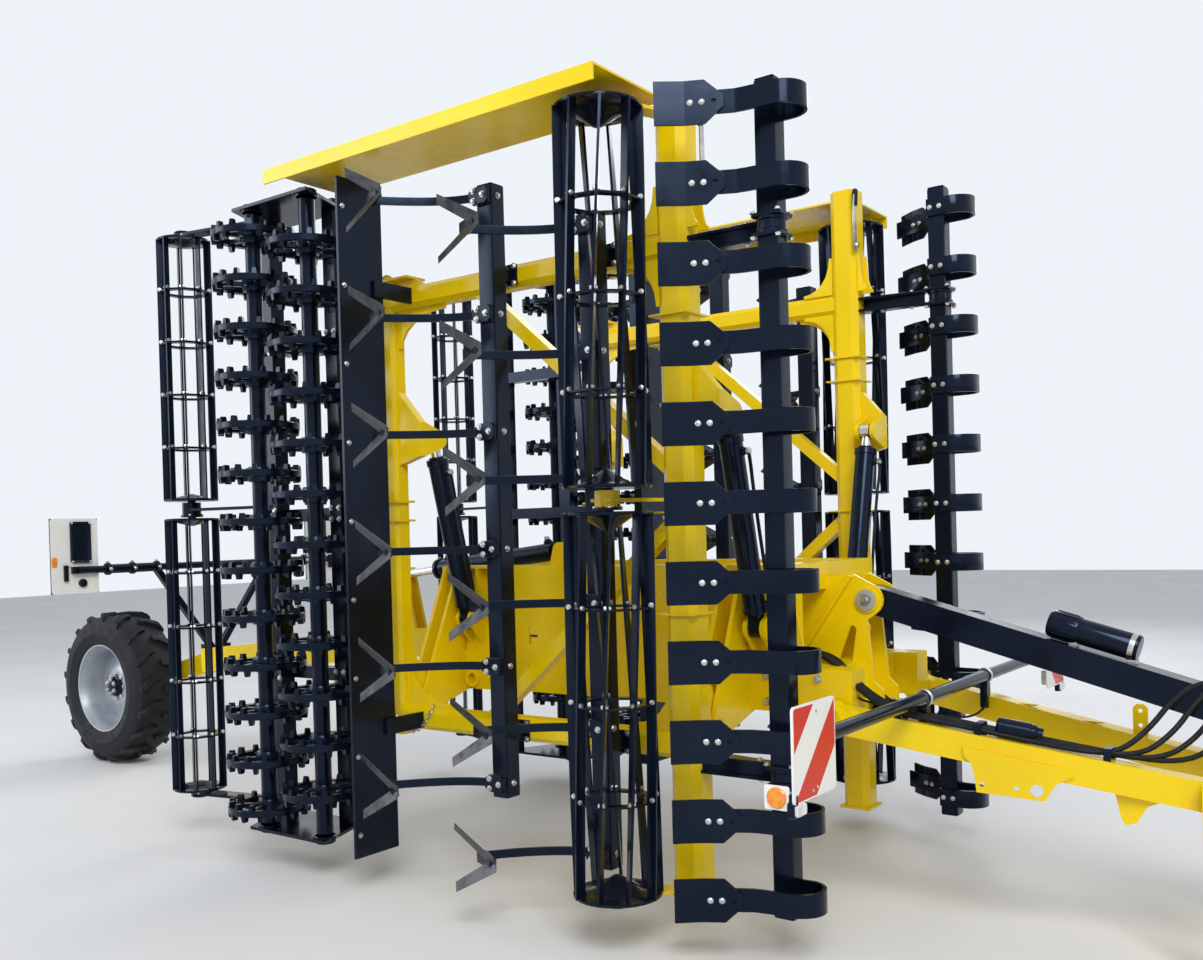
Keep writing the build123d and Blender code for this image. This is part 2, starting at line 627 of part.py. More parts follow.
def rear_carrier():
    """Black frame that holds the crosskill rows and the string roller behind the wing."""
    half = CARRIER_TUBE / 2
    pieces = []
    for x in CARRIER_XS:
        low = KILL_SHAFT_Z[0] - 35
        high = KILL_SHAFT_Z[1] + 65
        pieces.append(block(x - half, x + half, -CARRIER_Y - half, -CARRIER_Y + half, low, high))
    for z in CARRIER_ARMS_Z:
        start = (REAR_POST_X - POST / 2, -FRAME_Y - 30, z)
        end = (CARRIER_XS[1], -FRAME_Y - 30, z)
        pieces.append(bar(start, end, 60, 60))
    reach = HOUSING_GAP + HOUSING_H / 2
    string_low = STRING_SPANS[0][1] - reach
    string_mid = (STRING_SPANS[0][2] + STRING_SPANS[1][1]) / 2
    string_high = STRING_SPANS[1][2] + reach
    kill_xs = [row[1] for row in KILL_ROWS]
    for z in (KILL_SHAFT_Z[0] - reach, KILL_SHAFT_Z[1] + reach):
        outline = [
            (CARRIER_XS[0] + half, -CARRIER_Y + half),
            (max(kill_xs) + 70, -KILL_Y - 60),
            (min(kill_xs) - 70, -KILL_Y - 60),
            (CARRIER_XS[1] - half, -CARRIER_Y + half),
        ]
        pieces.append(plate_z(outline, z - 7, z + 7))
    for z in (string_low, string_mid, string_high):
        pieces.append(bar((CARRIER_XS[1], -CARRIER_Y, z), (STRING_X, -STRING_Y, z), 80, 14))
    carrier = joined(pieces)
    kill_span = [("row", KILL_SHAFT_Z[0], KILL_SHAFT_Z[1])]
    rollers = [(STRING_X, -STRING_Y, STRING_SPANS)] + [(x, -KILL_Y, kill_span) for x in kill_xs]
    for x, y, spans in rollers:
        housings, holes = end_housings(x, y, spans)
        carrier = joined([carrier] + housings) - holes
    return carrier


def centre_frame():
    """Two deep side frames with closed sides, cross beams, hinge ears and the arm's pivot."""
    low0, low1 = CENTRE_LOW_Z
    up0, up1 = CENTRE_UP_Z
    half = CENTRE_BEAM_W / 2
    pieces = []
    for side in (-1, 1):
        y = side * CENTRE_Y
        pieces.append(block(CENTRE_REAR_X, CENTRE_FRONT_X, y - half, y + half, low0, low1))
        pieces.append(upper_beam(side))
        pieces.append(side_plate(side))
        pieces.append(pivot_boss(side))
        for x in (CENTRE_REAR_X + 60, -1200.0, CENTRE_TOP_FRONT_X - 60):
            pieces.append(block(x - 60, x + 60, y - 30, y + 30, low1, up0))
    for x in (CENTRE_REAR_X + 60, FRONT_TUBE_X, CENTRE_FRONT_X - 160):
        pieces.append(block(x - 60, x + 60, -CENTRE_Y, CENTRE_Y, low0, low1))
    for x in (LIFT_BASE[0], CENTRE_TOP_FRONT_X - 60):
        pieces.append(block(x - 60, x + 60, -CENTRE_Y, CENTRE_Y, up0, up1))
    frame = joined(pieces)
    for side in (-1, 1):
        for x in (REAR_POST_X, FRONT_TUBE_X):
            frame = frame + hinge_ears(x, side)
    # ears for the wheel arm
    for side in (-1, 1):
        inner = side * (ARM_W / 2 + SIDE_GAP)
        outer = side * (ARM_W / 2 + SIDE_GAP + 25)
        outline = [(CENTRE_REAR_X + 40, up0 + 40)]
        outline += arc_points((ARM_PIVOT_X, ARM_PIVOT_Z), 90, 60, 270, 7)
        outline += [(CENTRE_REAR_X + 40, low0)]
        frame = frame + plate_y(outline, min(inner, outer), max(inner, outer))
    pin_y = ARM_W / 2 + SIDE_GAP + 25
    return frame + rod((ARM_PIVOT_X, -pin_y, ARM_PIVOT_Z), (ARM_PIVOT_X, pin_y, ARM_PIVOT_Z), PIN_R * 1.5)


def upper_beam(side):
    """Upper side beam with two open pockets between stiffeners at its rear end."""
    up0, up1 = CENTRE_UP_Z
    half = CENTRE_BEAM_W / 2
    y = side * CENTRE_Y
    beam = block(CENTRE_REAR_X, CENTRE_TOP_FRONT_X, y - half, y + half, up0, up1)
    for x0, x1 in ((CENTRE_REAR_X + 14, CENTRE_REAR_X + 215), (CENTRE_REAR_X + 230, CENTRE_REAR_X + 345)):
        beam = beam - block(x0, x1, y + side * 10, y + side * (half + 1), up0 + 12, up1 - 12)
    return beam


def side_plate(side):
    """Plate that closes the side between the beams, with a T-shaped hole."""
    low1 = CENTRE_LOW_Z[1]
    up0 = CENTRE_UP_Z[0]
    face = CENTRE_Y + CENTRE_BEAM_W / 2
    inner, outer = sorted((side * (face - 12), side * face))
    rear = CENTRE_REAR_X + 150
    front = CENTRE_TOP_FRONT_X
    outline = [(rear, low1 - 1), (front + 60, low1 - 1), (front, up0 + 1), (rear, up0 + 1)]
    plate = plate_y(outline, inner, outer)
    slot_x = -1508.0
    for x0, x1, z0, z1 in ((slot_x - 6, slot_x + 6, 990, 1070), (slot_x + 5, slot_x + 46, 1024, 1036)):
        plate = plate - block(x0, x1, inner, outer, z0, z1)
    return plate


def pivot_boss(side):
    """Round hollow boss on a rounded plate at the lower beam's rear."""
    face = CENTRE_Y + CENTRE_BEAM_W / 2
    x, z = -1845.0, 822.0
    inner, outer = sorted((side * (face - 1), side * (face + 14)))
    outline = arc_points((x, z), 52, 60, 270, 7) + [(x + 330, z - 46), (x + 330, z + 84), (x + 110, z + 84), (x + 60, z + 45)]
    boss = rod((x, side * face, z), (x, side * (face + 34), z), 40)
    hole = rod((x, side * (face + 4), z), (x, side * (face + 34), z), 24)
    return plate_y(outline, inner, outer) + boss - hole


def hinge_ears(x, side):
    """Two plates and the pin of one wing hinge."""
    near = EAR + SIDE_GAP
    far = near + EAR_PLATE
    y = side * HINGE_Y
    outline = [
        (side * CENTRE_Y, CENTRE_UP_Z[1]),
        (side * (CENTRE_Y + 90), CENTRE_UP_Z[1]),
        (y + side * HINGE_BOSS_R, HINGE_Z + 20),
        (y + side * HINGE_BOSS_R * 0.6, HINGE_Z - HINGE_BOSS_R * 0.8),
        (y - side * HINGE_BOSS_R * 0.6, HINGE_Z - HINGE_BOSS_R),
        (side * CENTRE_Y, CENTRE_LOW_Z[0]),
    ]
    ears = plate_x(outline, x - far, x - near) + plate_x(outline, x + near, x + far)
    return ears + rod((x - far - 12, y, HINGE_Z), (x + far + 12, y, HINGE_Z), HINGE_PIN_R)


def cylinder_lugs():
    """Pairs of rounded plates with the lower pins of the fold cylinders and the lift cylinder."""
    face = CENTRE_Y + CENTRE_BEAM_W / 2
    near = EYE_W / 2 + SIDE_GAP
    far = near + EAR_PLATE
    right = [(-face, CYL_BASE_Z + 70)]
    right += arc_points((-CYL_BASE_Y, CYL_BASE_Z), EYE_R + 4, 110, 250, 7)
    right += [(-face, CYL_BASE_Z - 120)]
    solids = []
    for _, x in CYL_STATIONS:
        pin = rod((x - far - 8, -CYL_BASE_Y, CYL_BASE_Z), (x + far + 8, -CYL_BASE_Y, CYL_BASE_Z), PIN_R)
        pair = ears_x(x, right) + pin
        solids += [pair, mirror(pair, about=Plane.XZ)]
    x, z = LIFT_BASE
    foot = CENTRE_UP_Z[1]
    upright_plate = [(x + 58, foot)] + arc_points((x, z), EYE_R + 2, 0, 180, 7) + [(x - 58, foot)]
    pair = plate_y(upright_plate, near, far) + plate_y(upright_plate, -far, -near)
    solids.append(pair + rod((x, -far, z), (x, far, z), PIN_R))
    return joined(solids)


def upright(z0, z1, radius):
    return Pos(0, 0, (z0 + z1) / 2) * Cylinder(radius, z1 - z0)


def cylinder(base, top, place, retract):
    """Barrel and rod between two pins, drawn upright from the lower pin, then placed."""
    length = math.dist(base, top)
    barrel_end = length - 110 - retract
    bore_start = BARREL_START + 16
    eye = Rot(0, 90, 0) * Cylinder(EYE_R, EYE_W)
    neck = Pos(0, 0, BARREL_START / 2) * Box(EYE_W, EYE_R * 1.4, BARREL_START + 4)
    pin_hole = Rot(0, 90, 0) * Cylinder(PIN_R + HINGE_FIT, EYE_W)
    bore = upright(bore_start, barrel_end, ROD_R + ROD_FIT)
    barrel = upright(BARREL_START, barrel_end, BARREL_R) + eye + neck - pin_hole - bore
    piston_rod = upright(bore_start + 8 + retract, length, ROD_R) + Pos(0, 0, length) * eye
    return place * barrel, place * piston_rod


def fold_cylinder(x):
    base = (-CYL_BASE_Y, CYL_BASE_Z)
    top = (-CYL_TOP_Y, CYL_TOP_Z)
    run = Vector(0, top[0] - base[0], top[1] - base[1]).normalized()
    plane = Plane(origin=(x, base[0], base[1]), x_dir=(1, 0, 0), z_dir=run)
    return cylinder(base, top, plane.location, 0)


def lift_cylinder():
    run = Vector(LIFT_LUG[0] - LIFT_BASE[0], 0, LIFT_LUG[1] - LIFT_BASE[1]).normalized()
    plane = Plane(origin=(LIFT_BASE[0], 0, LIFT_BASE[1]), x_dir=(0, 1, 0), z_dir=run)
    return cylinder(LIFT_BASE, LIFT_LUG, plane.location, LIFT_RETRACT)


def wheel_arm():
    """Box beam from the rear of the frame, cranked to the left of the wheel, with the axle."""
    knee = (ARM_KNEE_X, 0, ARM_KNEE_Z)
    beam = bar((ARM_PIVOT_X - 60, 0, ARM_PIVOT_Z - 6), knee, ARM_W, ARM_H)
    eye = rod((ARM_PIVOT_X, -ARM_W / 2, ARM_PIVOT_Z), (ARM_PIVOT_X, ARM_W / 2, ARM_PIVOT_Z), 75)
    bore = rod((ARM_PIVOT_X, -ARM_W / 2, ARM_PIVOT_Z), (ARM_PIVOT_X, ARM_W / 2, ARM_PIVOT_Z), PIN_R * 1.5 + HINGE_FIT)
    side = (ARM_KNEE_X - 380, ARM_SIDE_Y, ARM_KNEE_Z - 60)
    crank = bar(knee, side, 110, 140)
    end = (WHEEL_X, ARM_SIDE_Y, WHEEL_R)
    leg = bar(side, end, 90, 130)
    cap = rod((WHEEL_X, ARM_SIDE_Y - 45, WHEEL_R), (WHEEL_X, ARM_SIDE_Y + 45, WHEEL_R), 75)
    joint = rod((side[0], side[1], side[2] - 70), (side[0], side[1], side[2] + 70), 60)
    axle = rod((WHEEL_X, -40, WHEEL_R), (WHEEL_X, ARM_SIDE_Y, WHEEL_R), AXLE_R)
    arm = beam + eye - bore + crank + joint + leg + cap + axle
    for way in (-1, 1):
        inner = way * (EYE_W / 2 + SIDE_GAP)
        outer = way * (EYE_W / 2 + SIDE_GAP + EAR_PLATE)
        outline = [
            (LIFT_LUG[0] - EYE_R, LIFT_LUG[1] + EYE_R),
            (LIFT_LUG[0] + EYE_R, LIFT_LUG[1] + EYE_R),
            (LIFT_LUG[0] + 130, ARM_PIVOT_Z),
            (LIFT_LUG[0] - 130, ARM_PIVOT_Z - 20),
        ]
        arm = arm + plate_y(outline, min(inner, outer), max(inner, outer))
    return arm


def wheel_tyre():
    """Tyre with slanting lugs that meet in a V along the middle of the tread."""
    half = WHEEL_W / 2
    long, wide, deep = TYRE_LUG
    tread = WHEEL_R - 24
    outline = [
        (RIM_R, -half + 30),
        (RIM_R + 90, -half),
        (tread - 50, -half + 8),
        (tread, -half + 60),
        (tread, half - 60),
        (tread - 50, half - 8),
        (RIM_R + 90, half),
        (RIM_R, half - 30),
    ]
    tyre = revolve(make_face(Polyline(outline, close=True)), Axis.Y)
    lugs = []
    for way in (-1, 1):
        lug = Pos(0, way * 70, WHEEL_R - deep / 2 - 1.5) * Rot(0, 0, way * 48) * Box(wide, long, deep)
        for i in range(TYRE_LUGS):
            lugs.append(Rot(0, 360 * (i + way * 0.25) / TYRE_LUGS, 0) * lug)
    for lug in lugs:
        tyre = tyre + lug
    return Pos(WHEEL_X, 0, WHEEL_R) * tyre


def wheel_rim():
    """Deep stepped rim with a dished disc and a hub."""
    half = WHEEL_W / 2
    outline = [
        (RIM_R, -half + 30),
        (RIM_R, half - 30),
        (RIM_R - 18, half - 30),
        (RIM_R - 44, 40),
        (HUB_R + 34, 20),
        (AXLE_R + 0.05, 20),
        (AXLE_R + 0.05, -74),
        (HUB_R - 14, -74),
        (HUB_R, -6),
        (HUB_R + 34, -2),
        (RIM_R - 76, 18),
        (RIM_R - 64, -50),
        (RIM_R - 34, -72),
        (RIM_R - 18, -half + 30),
    ]
    section = make_face(Polyline(outline, close=True))
    return Pos(WHEEL_X, 0, WHEEL_R) * revolve(section, Axis.Y)


def lamp_bar():
    """Cross tube over the arm with two lamp boards, on a foot and two stays from the arm."""
    tube_y = LAMP_BOARD_Y - LAMP_BOARD[0] / 2
    x = LAMP_BAR_X
    foot_z = ARM_KNEE_Z + ARM_H / 2
    foot = block(x - 50, x + 50, -ARM_W / 2, ARM_W / 2, foot_z - 20, foot_z + 30) - wheel_arm()
    frame = rod((x, -tube_y, LAMP_BAR_Z), (x, tube_y, LAMP_BAR_Z), LAMP_TUBE_R) + foot
    low = LAMP_BAR_Z - LAMP_BOARD[1] * 0.31
    for side in (-1, 1):
        stay_end = (x, side * 410, LAMP_BAR_Z)
        frame = frame + bar((x, side * 40, foot_z + 20), stay_end, 36, 36, (1, 0, 0))
        inner = side * (LAMP_BOARD_Y - LAMP_BOARD[0])
        outer = side * LAMP_BOARD_Y
        middle = (inner + outer) / 2
        face = x - LAMP_TUBE_R - 5
        board = block(face - 10, face, min(inner, outer), max(inner, outer), low, low + LAMP_BOARD[1])
        clamp = block(face - 2, x + 8, middle - 25, middle + 25, LAMP_BAR_Z - 20, LAMP_BAR_Z + 20)
        frame = frame + board + clamp
    return frame


def headstock():
    """Yellow tower plates at the front of the frame, with the pins of strut and drawbar."""
    pieces = []
    for side in (-1, 1):
        y0, y1 = sorted((side * (STRUT[0] / 2 + 12), side * (STRUT[0] / 2 + 12 + TOWER_T)))
        pieces.append(tower_plate(y0, y1) + tower_flange(side))
    pin_y = STRUT[0] / 2 + 40
    pieces.append(rod((TOWER_PIN[0], -pin_y, TOWER_PIN[1]), (TOWER_PIN[0], pin_y, TOWER_PIN[1]), 24))
    tower = joined(pieces) - centre_frame()
    x, _, z = DRAWBAR_REAR
    face = CENTRE_Y + CENTRE_BEAM_W / 2
    pins = [rod((x, side * face, z), (x, side * (face + 118), z), 24) for side in (-1, 1)]
    return joined([tower] + pins)


def tower_plate(y0, y1):
    """One plate of the tower, with its long three-cornered hole."""
    px, pz = TOWER_PIN
    outline = [(-500.0, CENTRE_LOW_Z[0] + 30), (-500.0, CENTRE_UP_Z[1] - 30), (-190.0, CENTRE_UP_Z[1] - 60), (px - 56, pz + 103)]
    outline += arc_points((px, pz), 66, 60, -60, 6)
    outline += [(px - 2, pz - 80), (15.0, 872.0), (54.0, CENTRE_LOW_Z[0] + 60), (54.0, CENTRE_LOW_Z[0] + 8)]
    hole = [(-67.0, 1094.0), (-52.0, 1080.0), (-88.0, 850.0), (-104.0, 838.0), (-162.0, 843.0), (-170.0, 860.0), (-80.0, 1088.0)]
    return plate_y(outline, y0, y1) - plate_y(hole, y0, y1)


def tower_flange(side):
    """Folded edge that runs down the tower plate from the pin to the frame."""
    y = side * (STRUT[0] / 2 + 12 + TOWER_T)
    top = (TOWER_PIN[0] - 62, y, TOWER_PIN[1] + 96)
    foot = (-300.0, y, CENTRE_LOW_Z[1] + 6)
    flange = bar(top, foot, 44, 12, (1, 0, 0.5))
    cheek = rod((TOWER_PIN[0], y - side * 1, TOWER_PIN[1]), (TOWER_PIN[0], y + side * 10, TOWER_PIN[1]), 50)
    return flange + cheek


def beam_at(x):
    """Middle of the drawbar's left beam at a station: distance from the centre and height."""
    x0, y0, z0 = DRAWBAR_REAR
    share = (x - x0) / (DRAWBAR_NOSE_X - x0)
    return y0 * (1 - share) + 60.0 * share, z0 * (1 - share) + EYE_Z * share


def drawbar():
    """A-frame from the tower's foot to the towing eye."""
    x0, y0, z0 = DRAWBAR_REAR
    nose = DRAWBAR_NOSE_X
    right = bar((x0, -y0, z0), (nose, -60, EYE_Z), DRAWBAR_W, DRAWBAR_H)
    boss = rod((x0, -y0 + 45, z0), (x0, -y0 - 50, z0), DRAWBAR_BOSS_R)
    bore = rod((x0, -y0 + 45, z0), (x0, -y0 - 50, z0), 24.05)
    right = right + boss - bore + stand_pin() + side_plate_with_holes() + tie_hook()
    pieces = [right, mirror(right, about=Plane.XZ)]
    pieces.append(block(nose - 160, nose + 60, -95, 95, EYE_Z - 80, EYE_Z + 80))
    cross_y, cross_z = beam_at(STAND_X)
    pieces.append(block(STAND_X - 40, STAND_X + 40, -cross_y, cross_y, cross_z - 40, cross_z + 40))
    pieces.append(handle_plate())
    for side in (-1, 1):
        y_in, y_out = sorted((side * (STRUT[0] / 2 + 2), side * (STRUT[0] / 2 + 16)))
        cheek = [(nose - 165, EYE_Z + 60), (nose - 165, EYE_Z + 190), (nose - 135, EYE_Z + 250)]
        cheek += [(nose - 60, EYE_Z + 250), (nose + 20, EYE_Z + 120), (nose + 40, EYE_Z + 60)]
        pieces.append(plate_y(cheek, y_in, y_out))
    pin_x, pin_z = NOSE_PIN
    pin_y = STRUT[0] / 2 + 24
    pieces.append(rod((pin_x, -pin_y, pin_z), (pin_x, pin_y, pin_z), NOSE_PIN_R))
    return joined(pieces)


def beam_plane(x):
    """Plane on the outside of the drawbar's right beam, x along the beam and z outwards."""
    y, z = beam_at(x)
    far_y, far_z = beam_at(x + 100)
    run = Vector(100, y - far_y, 0).normalized()
    out = Vector(run.Y, -run.X, 0)
    face = Vector(x, -y, z) + out * (DRAWBAR_W / 2)
    return Plane(origin=face, x_dir=run, z_dir=out)


def side_plate_with_holes():
    """Hanging plate with three holes on the outside of a drawbar beam."""
    plane = beam_plane(640.0)
    outline = [(-175, 30), (-172, 0), (-148, -24), (-138, -60), (-130, -126), (93, -142), (128, -84), (189, -50), (189, -30)]
    plate = extrude(plane * make_face(Polyline(outline, close=True)), 12)
    for along, down, radius in ((-113.0, -98.0, 9.0), (1.0, -105.0, 9.0), (68.0, -108.0, 22.0)):
        plate = plate - extrude(plane * Pos(along, down) * Circle(radius), 12)
    return plate


def tie_hook():
    """Hooked bracket under a drawbar beam."""
    y, z = beam_at(1010.0)
    under = z - DRAWBAR_H / 2
    outline = [(940, under + 25), (1100, under + 25), (1095, under - 10), (1045, under - 34), (1010, under - 92), (975, under - 104), (962, under - 80)]
    return plate_y(outline, -y - 6, -y + 6)


def handle_plate():
    """Upright plate with two holes on the left beam."""
    x = 925.0
    y, z = beam_at(x)
    top = z + 165
    outline = [(x - 26, z + 40), (x + 26, z + 40), (x + 26, top - 14), (x + 12, top), (x - 12, top), (x - 26, top - 14)]
    plate = plate_y(outline, y - 5, y + 5)
    for hole_z in (z + 140, z + 85):
        plate = plate - rod((x, y - 5, hole_z), (x, y + 5, hole_z), 8)
    return plate


def towing_eye():
    ring = Pos(EYE_X, 0, EYE_Z) * Cylinder(EYE_RING_R, EYE_T)
    neck = block(DRAWBAR_NOSE_X + 60, EYE_X - 30, -32, 32, EYE_Z - EYE_T / 2, EYE_Z + EYE_T / 2)
    hole = Pos(EYE_X, 0, EYE_Z) * Cylinder(EYE_BORE_R, EYE_T)
    flange = block(DRAWBAR_NOSE_X + 60, DRAWBAR_NOSE_X + 85, -80, 80, EYE_Z - 75, EYE_Z + 75)
    return ring + neck + flange - hole


def strut():
    """Box strut from the tower's upper pin down to the drawbar's nose."""
    start = (TOWER_PIN[0], 0, TOWER_PIN[1])
    end = (DRAWBAR_NOSE_X - 70, 0, EYE_Z + 195)
    beam = bar(start, end, STRUT[0], STRUT[1])
    hole_y = STRUT[0] / 2
    hole = rod((start[0], -hole_y, start[2]), (start[0], hole_y, start[2]), 24.05)
    boss = rod((start[0], -hole_y, start[2]), (start[0], hole_y, start[2]), 55)
    pin_x, pin_z = NOSE_PIN
    pin_hole = rod((pin_x, -hole_y, pin_z), (pin_x, hole_y, pin_z), NOSE_PIN_R + 0.05)
    return beam + boss - hole - pin_hole


def warning_bar():
    x = WARN_BAR_X
    tube_y = WARN_BOARD_Y - WARN_BOARD / 2
    tube = rod((x, -tube_y, WARN_BAR_Z), (x, tube_y, WARN_BAR_Z), 24)
    posts = []
    for side in (-1, 1):
        y = side * 345
        posts.append(block(x - 15, x + 15, y - 20, y + 20, beam_at(x)[1], WARN_BAR_Z))
    return joined([tube] + posts) - drawbar()


def warning_boards():
    x = WARN_BAR_X
    low = WARN_BAR_Z - 160
    board = block(x + 24, x + 30, -WARN_BOARD_Y, -WARN_BOARD_Y + WARN_BOARD, low, low + WARN_BOARD)
    return board + mirror(board, about=Plane.XZ)


def stand_y():
    """Distance of the drawbar's beams from the middle at the stands."""
    return beam_at(STAND_X)[0]


def stand():
    """Parking leg that swings up forwards on its pin on the outside of the drawbar."""
    y = -(stand_y() + DRAWBAR_W / 2 + 60)
    half = STAND_TUBE / 2
    leg = block(STAND_X - half, STAND_X + half, y - half, y + half, 12, STAND_PIVOT_Z + 50)
    heel = STAND_X - STAND_FOOT / 2 - STAND_HEEL
    foot = block(heel, heel + STAND_FOOT, y - STAND_FOOT / 2, y + STAND_FOOT / 2, 0, 12)
    hole = rod((STAND_X, y - half, STAND_PIVOT_Z), (STAND_X, y + half, STAND_PIVOT_Z), PIN_R + HINGE_FIT)
    return leg + foot - hole


def stand_pin():
    y = -(stand_y() + DRAWBAR_W / 2 + 60)
    z = STAND_PIVOT_Z
    return rod((STAND_X, y - STAND_TUBE / 2 - 8, z), (STAND_X, -stand_y(), z), PIN_R)


def main():
    save_pair("wing_frame", wing_frame())
    save_pair("rod_lugs", rod_lugs())
    save_pair("wing_guard", wing_guard())
    save_pair("leveller", leveller())
    save_pair("tine_bars", tine_bars())
    save_pair("levelling_board", levelling_board())
    save_pair("rear_carrier", rear_carrier())
    for part, low, high in BAR_ROLLER_SPANS:
        save_pair("bar_roller_" + part, bar_roller(low, high))
    for part, low, high in STRING_SPANS:
        save_pair("string_roller_" + part, string_roller(low, high))
    for part, x, rings, stagger in KILL_ROWS:
        save_pair("crosskill_" + part, crosskill_row(x, rings, stagger))
    for part, x in CYL_STATIONS:
        barrel, piston_rod = fold_cylinder(x)
        save_pair("fold_barrel_" + part, barrel)
        save_pair("fold_rod_" + part, piston_rod)
    save("centre_frame", centre_frame())
    save("cylinder_lugs", cylinder_lugs())
    save("headstock", headstock())
    save("drawbar", drawbar())
    save("towing_eye", towing_eye())
    save("strut", strut() - drawbar())
    save("warning_bar", warning_bar())
    save("warning_boards", warning_boards())
    save_pair("stand", stand())
    save("wheel_arm", wheel_arm())
    barrel, piston_rod = lift_cylinder()
    save("lift_barrel", barrel)
    save("lift_rod", piston_rod)
    save("lamp_bar", lamp_bar())
    save("tyre", wheel_tyre())
    save("rim", wheel_rim())


main()
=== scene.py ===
import json
import math

import bmesh
import bpy
from mathutils import Matrix, Vector


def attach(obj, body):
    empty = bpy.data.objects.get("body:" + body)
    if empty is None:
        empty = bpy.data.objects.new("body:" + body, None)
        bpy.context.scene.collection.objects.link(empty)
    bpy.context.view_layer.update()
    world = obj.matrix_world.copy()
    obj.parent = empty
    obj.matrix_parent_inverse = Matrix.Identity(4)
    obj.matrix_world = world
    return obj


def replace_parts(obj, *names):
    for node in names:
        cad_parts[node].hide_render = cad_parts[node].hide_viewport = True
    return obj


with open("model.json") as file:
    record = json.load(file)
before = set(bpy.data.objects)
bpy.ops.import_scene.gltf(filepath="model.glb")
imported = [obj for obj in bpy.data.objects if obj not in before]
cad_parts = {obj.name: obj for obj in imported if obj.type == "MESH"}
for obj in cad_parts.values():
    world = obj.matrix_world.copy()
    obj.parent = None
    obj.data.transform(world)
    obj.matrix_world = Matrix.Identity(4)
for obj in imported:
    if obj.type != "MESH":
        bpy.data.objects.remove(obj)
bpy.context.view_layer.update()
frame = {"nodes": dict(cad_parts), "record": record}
bpy.ops.object.select_all(action="DESELECT")

# Camera: where the photograph was taken from, measured on the frame
CAMERA_PLACE = (3.718, -4.365, 1.503)
CAMERA_YAW = math.radians(126.36)
CAMERA_PITCH = math.radians(-0.64)
CAMERA_ROLL = math.radians(-1.55)
IMAGE_WIDTH = 1203.0
FOCAL_PIXELS = 1136.5
OPTICAL_DROP = 63.0
SENSOR_WIDTH = 36.0

# Stations are in millimetres, measured from the front leveller's bar as in the part's source
FRAME_SHIFT = 1880.0
WING_LOW = 140.0
WING_HIGH = 3055.0
WING_MID_Z = 1609.0
UPPER_BEAM_Z = 2555.0
LOWER_BEAM_Z = 690.0
FRAME_Y = 760.0
FRONT_TUBE_X = -423.0
SIDES = (("right", -1), ("left", 1))
CORNERS = ((-1, -1), (1, -1), (1, 1), (-1, 1))
SMOOTH_UP_TO = math.radians(32)

# Warning stripes: one red and one white band, along the slant, and where the first begins
STRIPE_PITCH = 0.282
STRIPE_START = 0.3759


# Finishes

def new_finish(name):
    finish = bpy.data.materials.new(name)
    finish.use_nodes = True
    tree = finish.node_tree
    return finish, tree, tree.nodes["Principled BSDF"], tree.nodes.new("ShaderNodeTexCoord")


def noise(tree, place, scale, detail=3.0, roughness=0.5):
    cloud = tree.nodes.new("ShaderNodeTexNoise")
    cloud.inputs["Scale"].default_value = scale
    cloud.inputs["Detail"].default_value = detail
    cloud.inputs["Roughness"].default_value = roughness
    tree.links.new(place.outputs["Object"], cloud.inputs["Vector"])
    return cloud.outputs["Fac"]


def vary(tree, target, pattern, low, high, low_at=0.35, high_at=0.65):
    """Let a pattern change one value or colour of a finish from low to high."""
    blend = tree.nodes.new("ShaderNodeValToRGB")
    blend.color_ramp.elements[0].position = low_at
    blend.color_ramp.elements[0].color = low
    blend.color_ramp.elements[1].position = high_at
    blend.color_ramp.elements[1].color = high
    tree.links.new(pattern, blend.inputs["Fac"])
    tree.links.new(blend.outputs["Color"], target)


def reckon(tree, operation, *values):
    """A maths node; each value is a number or another node's output."""
    step = tree.nodes.new("ShaderNodeMath")
    step.operation = operation
    for socket, value in zip(step.inputs, values):
        if isinstance(value, float):
            socket.default_value = value
        else:
            tree.links.new(value, socket)
    return step.outputs[0]


def grey(value):
    return (value, value, value, 1.0)


def bump(tree, shader, height, strength, distance):
    relief = tree.nodes.new("ShaderNodeBump")
    relief.inputs["Strength"].default_value = strength
    relief.inputs["Distance"].default_value = distance
    tree.links.new(height, relief.inputs["Height"])
    tree.links.new(relief.outputs["Normal"], shader.inputs["Normal"])


def gloss_paint(name, dark, light, rough_low, rough_high, coat, shine=0.5):
    """Sprayed gloss paint with slight orange peel, dust and a change of tone."""
    finish, tree, shader, place = new_finish(name)
    vary(tree, shader.inputs["Base Color"], noise(tree, place, 2.2, 4.0), dark, light, 0.3, 0.7)
    dust = noise(tree, place, 9.0, 6.0, 0.65)
    vary(tree, shader.inputs["Roughness"], dust, grey(rough_low), grey(rough_high), 0.35, 0.75)
    bump(tree, shader, noise(tree, place, 260.0, 2.0), 0.06, 0.0006)
    shader.inputs["Coat Weight"].default_value = coat
    shader.inputs["Coat Roughness"].default_value = 0.08
    shader.inputs["Specular IOR Level"].default_value = shine
    return finish


def metal(name, dark, light, rough_low, rough_high, scale, bare=1.0):
    finish, tree, shader, place = new_finish(name)
    tone = noise(tree, place, scale, 5.0, 0.6)
    vary(tree, shader.inputs["Base Color"], tone, dark, light)
    vary(tree, shader.inputs["Roughness"], tone, grey(rough_low), grey(rough_high))
    shader.inputs["Metallic"].default_value = bare
    bump(tree, shader, noise(tree, place, scale * 30, 2.0), 0.05, 0.0004)
    return finish


